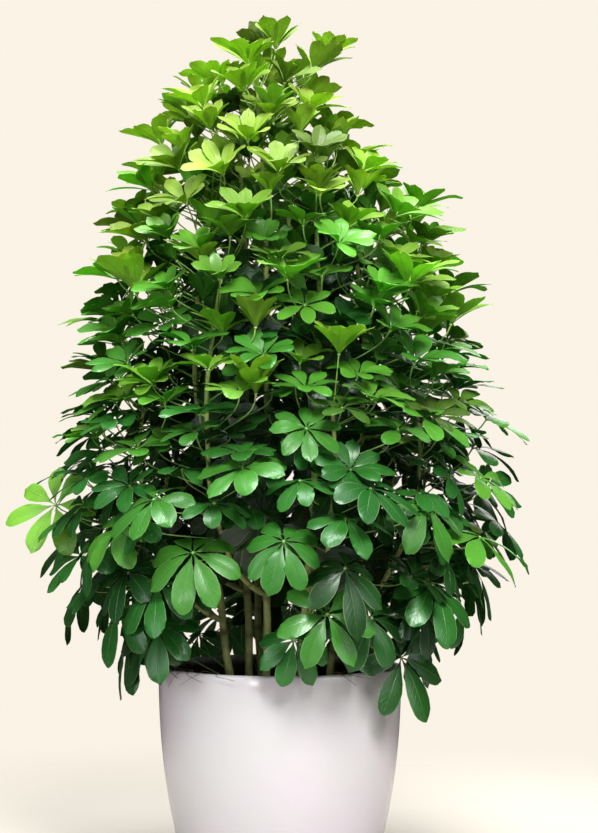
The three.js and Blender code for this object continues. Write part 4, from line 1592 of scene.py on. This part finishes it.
def pot_outline():
    outline = [(1.0, 0.0)]
    for angle in np.linspace(0, math.pi / 2, FOOT_STEPS):
        height = POT_EDGE_ROUNDING * (1 - math.cos(angle))
        outline.append((pot_radius(height) - POT_EDGE_ROUNDING * (1 - math.sin(angle)), height))
    straight = np.linspace(POT_EDGE_ROUNDING, POT_HEIGHT - LIP_RADIUS, OUTSIDE_STEPS)[1:]
    outline += [(pot_radius(height), height) for height in straight]
    lip = POT_WALL / 2
    for angle in np.linspace(0, math.pi, LIP_STEPS)[1:]:
        across = POT_RIM_RADIUS - lip + lip * math.cos(angle)
        outline.append((across, POT_HEIGHT - LIP_RADIUS + LIP_RADIUS * math.sin(angle)))
    down = np.linspace(POT_HEIGHT - LIP_RADIUS, POT_FLOOR, INSIDE_STEPS)[1:]
    outline += [(pot_radius(height) - POT_WALL, height) for height in down]
    return outline + [(1.0, POT_FLOOR)]


def turned(outline, sides):
    """Points of an outline of (radius, height) turned about the pot's axis."""
    angles = 2 * math.pi * np.arange(sides) / sides
    ring = np.stack((np.cos(angles), np.sin(angles), np.zeros(sides)), 1)
    return np.concatenate([ring * radius + UP * height for radius, height in outline])


outline = pot_outline()
highest = max(range(len(outline)), key=lambda place: outline[place][1])
wall = [(float(place > highest), height * MM, 0) for place, (_, height) in enumerate(outline)]
basket = Basket(("wall",))
faces = tube_faces(len(outline), POT_SIDES)
basket.add(turned(outline, POT_SIDES), faces, 0, wall=np.repeat(wall, POT_SIDES, axis=0))
pot = basket.make("glazed_pot", (pot_glaze,), sharp=50)
print("pot faces:", len(pot.data.polygons))

# %% [markdown]
# ## The soil
# The soil is a low mound with lumps, sunk a little below the rim. Its top is a fine disc whose points
# are raised by a few long waves for the mound's lumps and some short ones for its crumbs.

# %% Soil
SOIL_SIDES = 96
SOIL_RINGS = 34
SOIL_FOOT = 60
SOIL_SLACK = 0.4  # between its edge and the pot
CRUMB_HEIGHT = 0.9


def ripples(along, across, width, bend):
    """Waves of a width along one direction, bent by waves across it."""
    return np.sin(along / width + np.sin(across / bend) * 2)


def soil_height(x, y):
    """The soil's top at a place, in millimetres."""
    wide, narrow, skew = SOIL_LUMP_WIDTHS
    share = np.hypot(x, y) / (pot_radius(SOIL_TOP) - POT_WALL)
    lumps = SOIL_LUMPS * np.sin(x / wide) * np.cos(y / narrow + x / skew)
    crumbs = CRUMB_HEIGHT * ripples(x, y, 3.7, 5.1) * ripples(y, x, 3.1, 4.3)
    return SOIL_TOP + SOIL_MOUND * (1 - share**2) + (lumps + crumbs) * smooth_step(share, 1.0, 0.9)


soil_edge = pot_radius(SOIL_TOP) - POT_WALL - SOIL_SLACK
rings = [(pot_radius(SOIL_FOOT) - POT_WALL - 1, SOIL_FOOT), (soil_edge, SOIL_TOP - 1)]
rings += [(soil_edge * share, 0) for share in np.linspace(1, 0.01, SOIL_RINGS)]
points = turned(rings, SOIL_SIDES)
top = slice(2 * SOIL_SIDES, None)
points[top, 2] = soil_height(points[top, 0], points[top, 1])
basket = Basket(())
basket.add(points, tube_faces(len(rings), SOIL_SIDES), 0)
soil = basket.make("potting_soil", (potting_soil,), sharp=80)
print("soil faces:", len(soil.data.polygons))

# %% [markdown]
# ## Chips and perlite
# Chips of bark and a few white grains of perlite lie half sunk in the soil. Each one starts as a
# small ball of twenty faces. Its own draws then push its corners in or out, make it narrow and flat,
# and turn it.

# %% Chips and perlite
GRIT = 420
PERLITE_SHARE = 0.16
# Half lengths of a white grain and of a dark chip, and how narrow and flat they are for their length.
PERLITE = {"size": (1.2, 2.4), "width": (0.6, 1), "height": (0.6, 1)}
CHIP = {"size": (2.0, 6.5), "width": (0.3, 0.7), "height": (0.2, 0.4)}
GRIT_REACH = 0.96  # of the soil's radius
GRIT_CORNERS = (0.8, 1.2)
GRIT_SPIN = (0, 6.28)  # radians
GRIT_TILT = (-0.5, 0.5)
GRIT_RAISED = 0.15  # of its half length: its middle lies this far above the soil

stone = bmesh.new()
bmesh.ops.create_icosphere(stone, subdivisions=1, radius=1)
stone_points = np.array([vertex.co for vertex in stone.verts])
stone_faces = np.array([[corner.index for corner in face.verts] for face in stone.faces])
stone.free()
basket = Basket(())
for _ in range(GRIT):
    reach = soil_edge * GRIT_REACH * math.sqrt(shape_draw())
    x, y, _ = polar(between(0, 360), reach, 0)
    white = shape_draw() < PERLITE_SHARE
    kind = PERLITE if white else CHIP
    size = between(*kind["size"])
    stretch = (1, between(*kind["width"]), between(*kind["height"]))
    rough = np.array([between(*GRIT_CORNERS) for _ in stone_points])[:, None]
    spin = Matrix.Rotation(between(*GRIT_SPIN), 3, "Z")
    turn = spin @ Matrix.Rotation(between(*GRIT_TILT), 3, "X")
    lump = stone_points * rough * np.array(stretch) * size @ np.array(turn).T
    faces = np.column_stack((stone_faces, stone_faces[:, 0]))
    basket.add(lump + (x, y, soil_height(x, y) + size * GRIT_RAISED), faces, int(white))
grit = basket.make("soil_grit", (bark_chip, perlite), sharp=20)
print("grit faces:", len(grit.data.polygons))

# %% [markdown]
# ## Dry strands over the rim
# A few dead leaf stalks and rootlets hang over the front of the rim. Each one starts on the soil,
# lies over the lip and curls down outside. It is a thin tube along two curves like those of the
# canes, one for each side of the lip.

# %% Dry strands
# Each strand's azimuth, how far it hangs down, and its radius.
STRANDS = (
    (200, 10, 1.4), (206, 16, 1.1), (211, 9, 1.3), (217, 24, 0.8), (223, 12, 1.0), (230, 20, 0.7),
    (240, 7, 0.9), (299, 16, 1.1), (304, 8, 0.8),
)
STRAND_SIDES = 5
STRAND_LEAN = 14  # degrees that its start may lie to one side
STRAND_RISE = ((150, SOIL_TOP + 6), (160, 318), (172, POT_HEIGHT + 8))  # radius and height, up to the lip
STRAND_OUT = (7, 9)  # beyond the rim's radius, where it bends down and at its end
STRAND_CURL = 0.8  # of its lean, to the other side
STRAND_THIN = 0.35  # of its radius is left at its end


def add_strand(basket, azimuth, drop, radius):
    """A strand from the soil over the lip at an azimuth, hanging down by drop."""
    lean = between(-STRAND_LEAN, STRAND_LEAN)
    over = polar(azimuth, POT_RIM_RADIUS - POT_WALL / 2, POT_HEIGHT + radius + 1)
    turns = (azimuth + lean, azimuth + lean, azimuth)
    rise = [polar(turn, *place) for turn, place in zip(turns, STRAND_RISE)] + [over]
    bend_out, end_out = STRAND_OUT
    bend = polar(azimuth, POT_RIM_RADIUS + bend_out, POT_HEIGHT - 1)
    end = polar(azimuth - lean * STRAND_CURL, POT_RIM_RADIUS + end_out, POT_HEIGHT - drop)
    fall = (over, 2 * over - rise[2], bend, end)
    t = np.linspace(0, 1, 9)
    centres = np.concatenate((bezier(rise, t), bezier(fall, t)[1:]))
    radii = radius * np.linspace(1.0, STRAND_THIN, len(centres))
    basket.add(tube(centres, radii, STRAND_SIDES), tube_faces(len(centres), STRAND_SIDES), 0)


basket = Basket(())
for row in STRANDS:
    add_strand(basket, *row)
strands = basket.make("dry_strands", (dry_stalk,))
print("strands:", len(STRANDS))

# %% [markdown]
# ## What each piece stands for
# The construction model keeps carrying the plant in the checks, and these pieces are what shows.
# Each one rides on the body that it moves with, and the plain solid that it replaces is hidden.
# Here everything stands in one body, the root.

# %% Ride and replace
for piece, slot in ((pot, "pot_glaze"), (soil, "potting_soil"), (grit, "potting_soil"), (strands, "foliage")):
    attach(piece, "root")
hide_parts("pot")
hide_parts("soil")
for cane, leaves, bark in zip(canes, leaf_pieces, cane_pieces):
    for piece in (leaves, bark):
        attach(piece, "root")
        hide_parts(cane.name)
faces = sum(len(face.vertices) - 2 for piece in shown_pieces() for face in piece.data.polygons)

# %% [markdown]
# ## The studio
# The plant stands on a plain pale floor. It fades out towards its edge, into even warm-white
# surroundings, so no line cuts through the background. The camera sees the surroundings bright, but
# they give little light, so that the gaps between the leaves stay dark.

# %% Floor and surroundings
ROOM_SEEN = (0.965, 0.895, 0.785, 1)  # what the camera sees behind the plant
ROOM_LIGHT = (0.08, 0.08, 0.08, 1)  # the light that the surroundings give
FLOOR_RADIUS = 1.7
FLOOR_FADES_FROM = 0.65
FLOOR_SIDES = 96
FLOOR_PALE = (0.48, 0.445, 0.39, 1)


def build_floor(graph):
    away = graph.add("ShaderNodeVectorMath", {"Vector": graph.place()}, operation="LENGTH")
    return {
        "Base Color": graph.shaded(FLOOR_PALE, mottled(graph, 1.2, 0.04)),
        "Alpha": graph.ease(away.outputs["Value"], FLOOR_RADIUS, FLOOR_FADES_FROM),
    }


basket = Basket(())
disc = ((FLOOR_RADIUS / MM, 0), (FLOOR_RADIUS / MM / 2, 0), (1.0, 0))
basket.add(turned(disc, FLOOR_SIDES), ring_faces(len(disc), FLOOR_SIDES), 0)
floor = basket.make("floor", (new_material("floor", build_floor, roughness=0.8),))
floor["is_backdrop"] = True

world = bpy.data.worlds.new("surroundings")
world.use_nodes = True
bpy.context.scene.world = world
surroundings = Graph(world.node_tree)
seen = surroundings.add("ShaderNodeLightPath").outputs["Is Camera Ray"]
background = world.node_tree.nodes["Background"]
surroundings.plug(background.inputs["Color"], surroundings.mix(seen, ROOM_LIGHT, ROOM_SEEN))
print("floor faces:", len(floor.data.polygons))

# %% [markdown]
# ## The lamps
# Two large soft lamps do most of the work, one high in front and one right above, and draw the
# lights on the leaves. Weaker ones fill both sides and the back, and a small one low in front puts
# a soft light on the glaze.

# %% Lamps
# Each lamp's place and target, its side, all in metres, its power in watts and its colour.
LAMPS = {
    "key_lamp": ((0.6, -3.2, 3.2), (0, 0, 0.8), 1.4, 290, (1.0, 0.99, 0.95)),
    "left_lamp": ((-2.4, -2.2, 1.3), (0, 0, 0.5), 1.6, 36, (0.98, 0.99, 1.0)),
    "right_lamp": ((2.4, -2.0, 1.2), (0, 0, 0.5), 1.6, 27, (1.0, 0.99, 0.97)),
    "front_lamp": ((-1.3, -3.1, 0.28), (0, 0, 0.35), 0.5, 15, (1.0, 0.97, 0.99)),
    "back_lamp": ((0.8, 3.0, 1.9), (0, 0, 0.6), 1.8, 45, (1.0, 0.98, 0.95)),
    "top_lamp": ((-0.2, 0.0, 3.8), (0, 0, 1.0), 1.8, 222, (0.98, 0.99, 1.0)),
}


def soft_lamp(name, place, target, size, power, colour):
    lamp = bpy.data.lights.new(name, "AREA")
    lamp.shape = "SQUARE"
    lamp.size = size
    lamp.energy = power
    lamp.color = colour
    stand = bpy.data.objects.new(name, lamp)
    stand.location = place
    stand.rotation_euler = (Vector(target) - Vector(place)).to_track_quat("-Z", "Y").to_euler()
    stand.visible_camera = False
    bpy.context.scene.collection.objects.link(stand)


for name, row in LAMPS.items():
    soft_lamp(name, *row)
print("lamps:", len(LAMPS))

view = bpy.context.scene.view_settings
view.view_transform = "Standard"
view.exposure = 0.0

# %% [markdown]
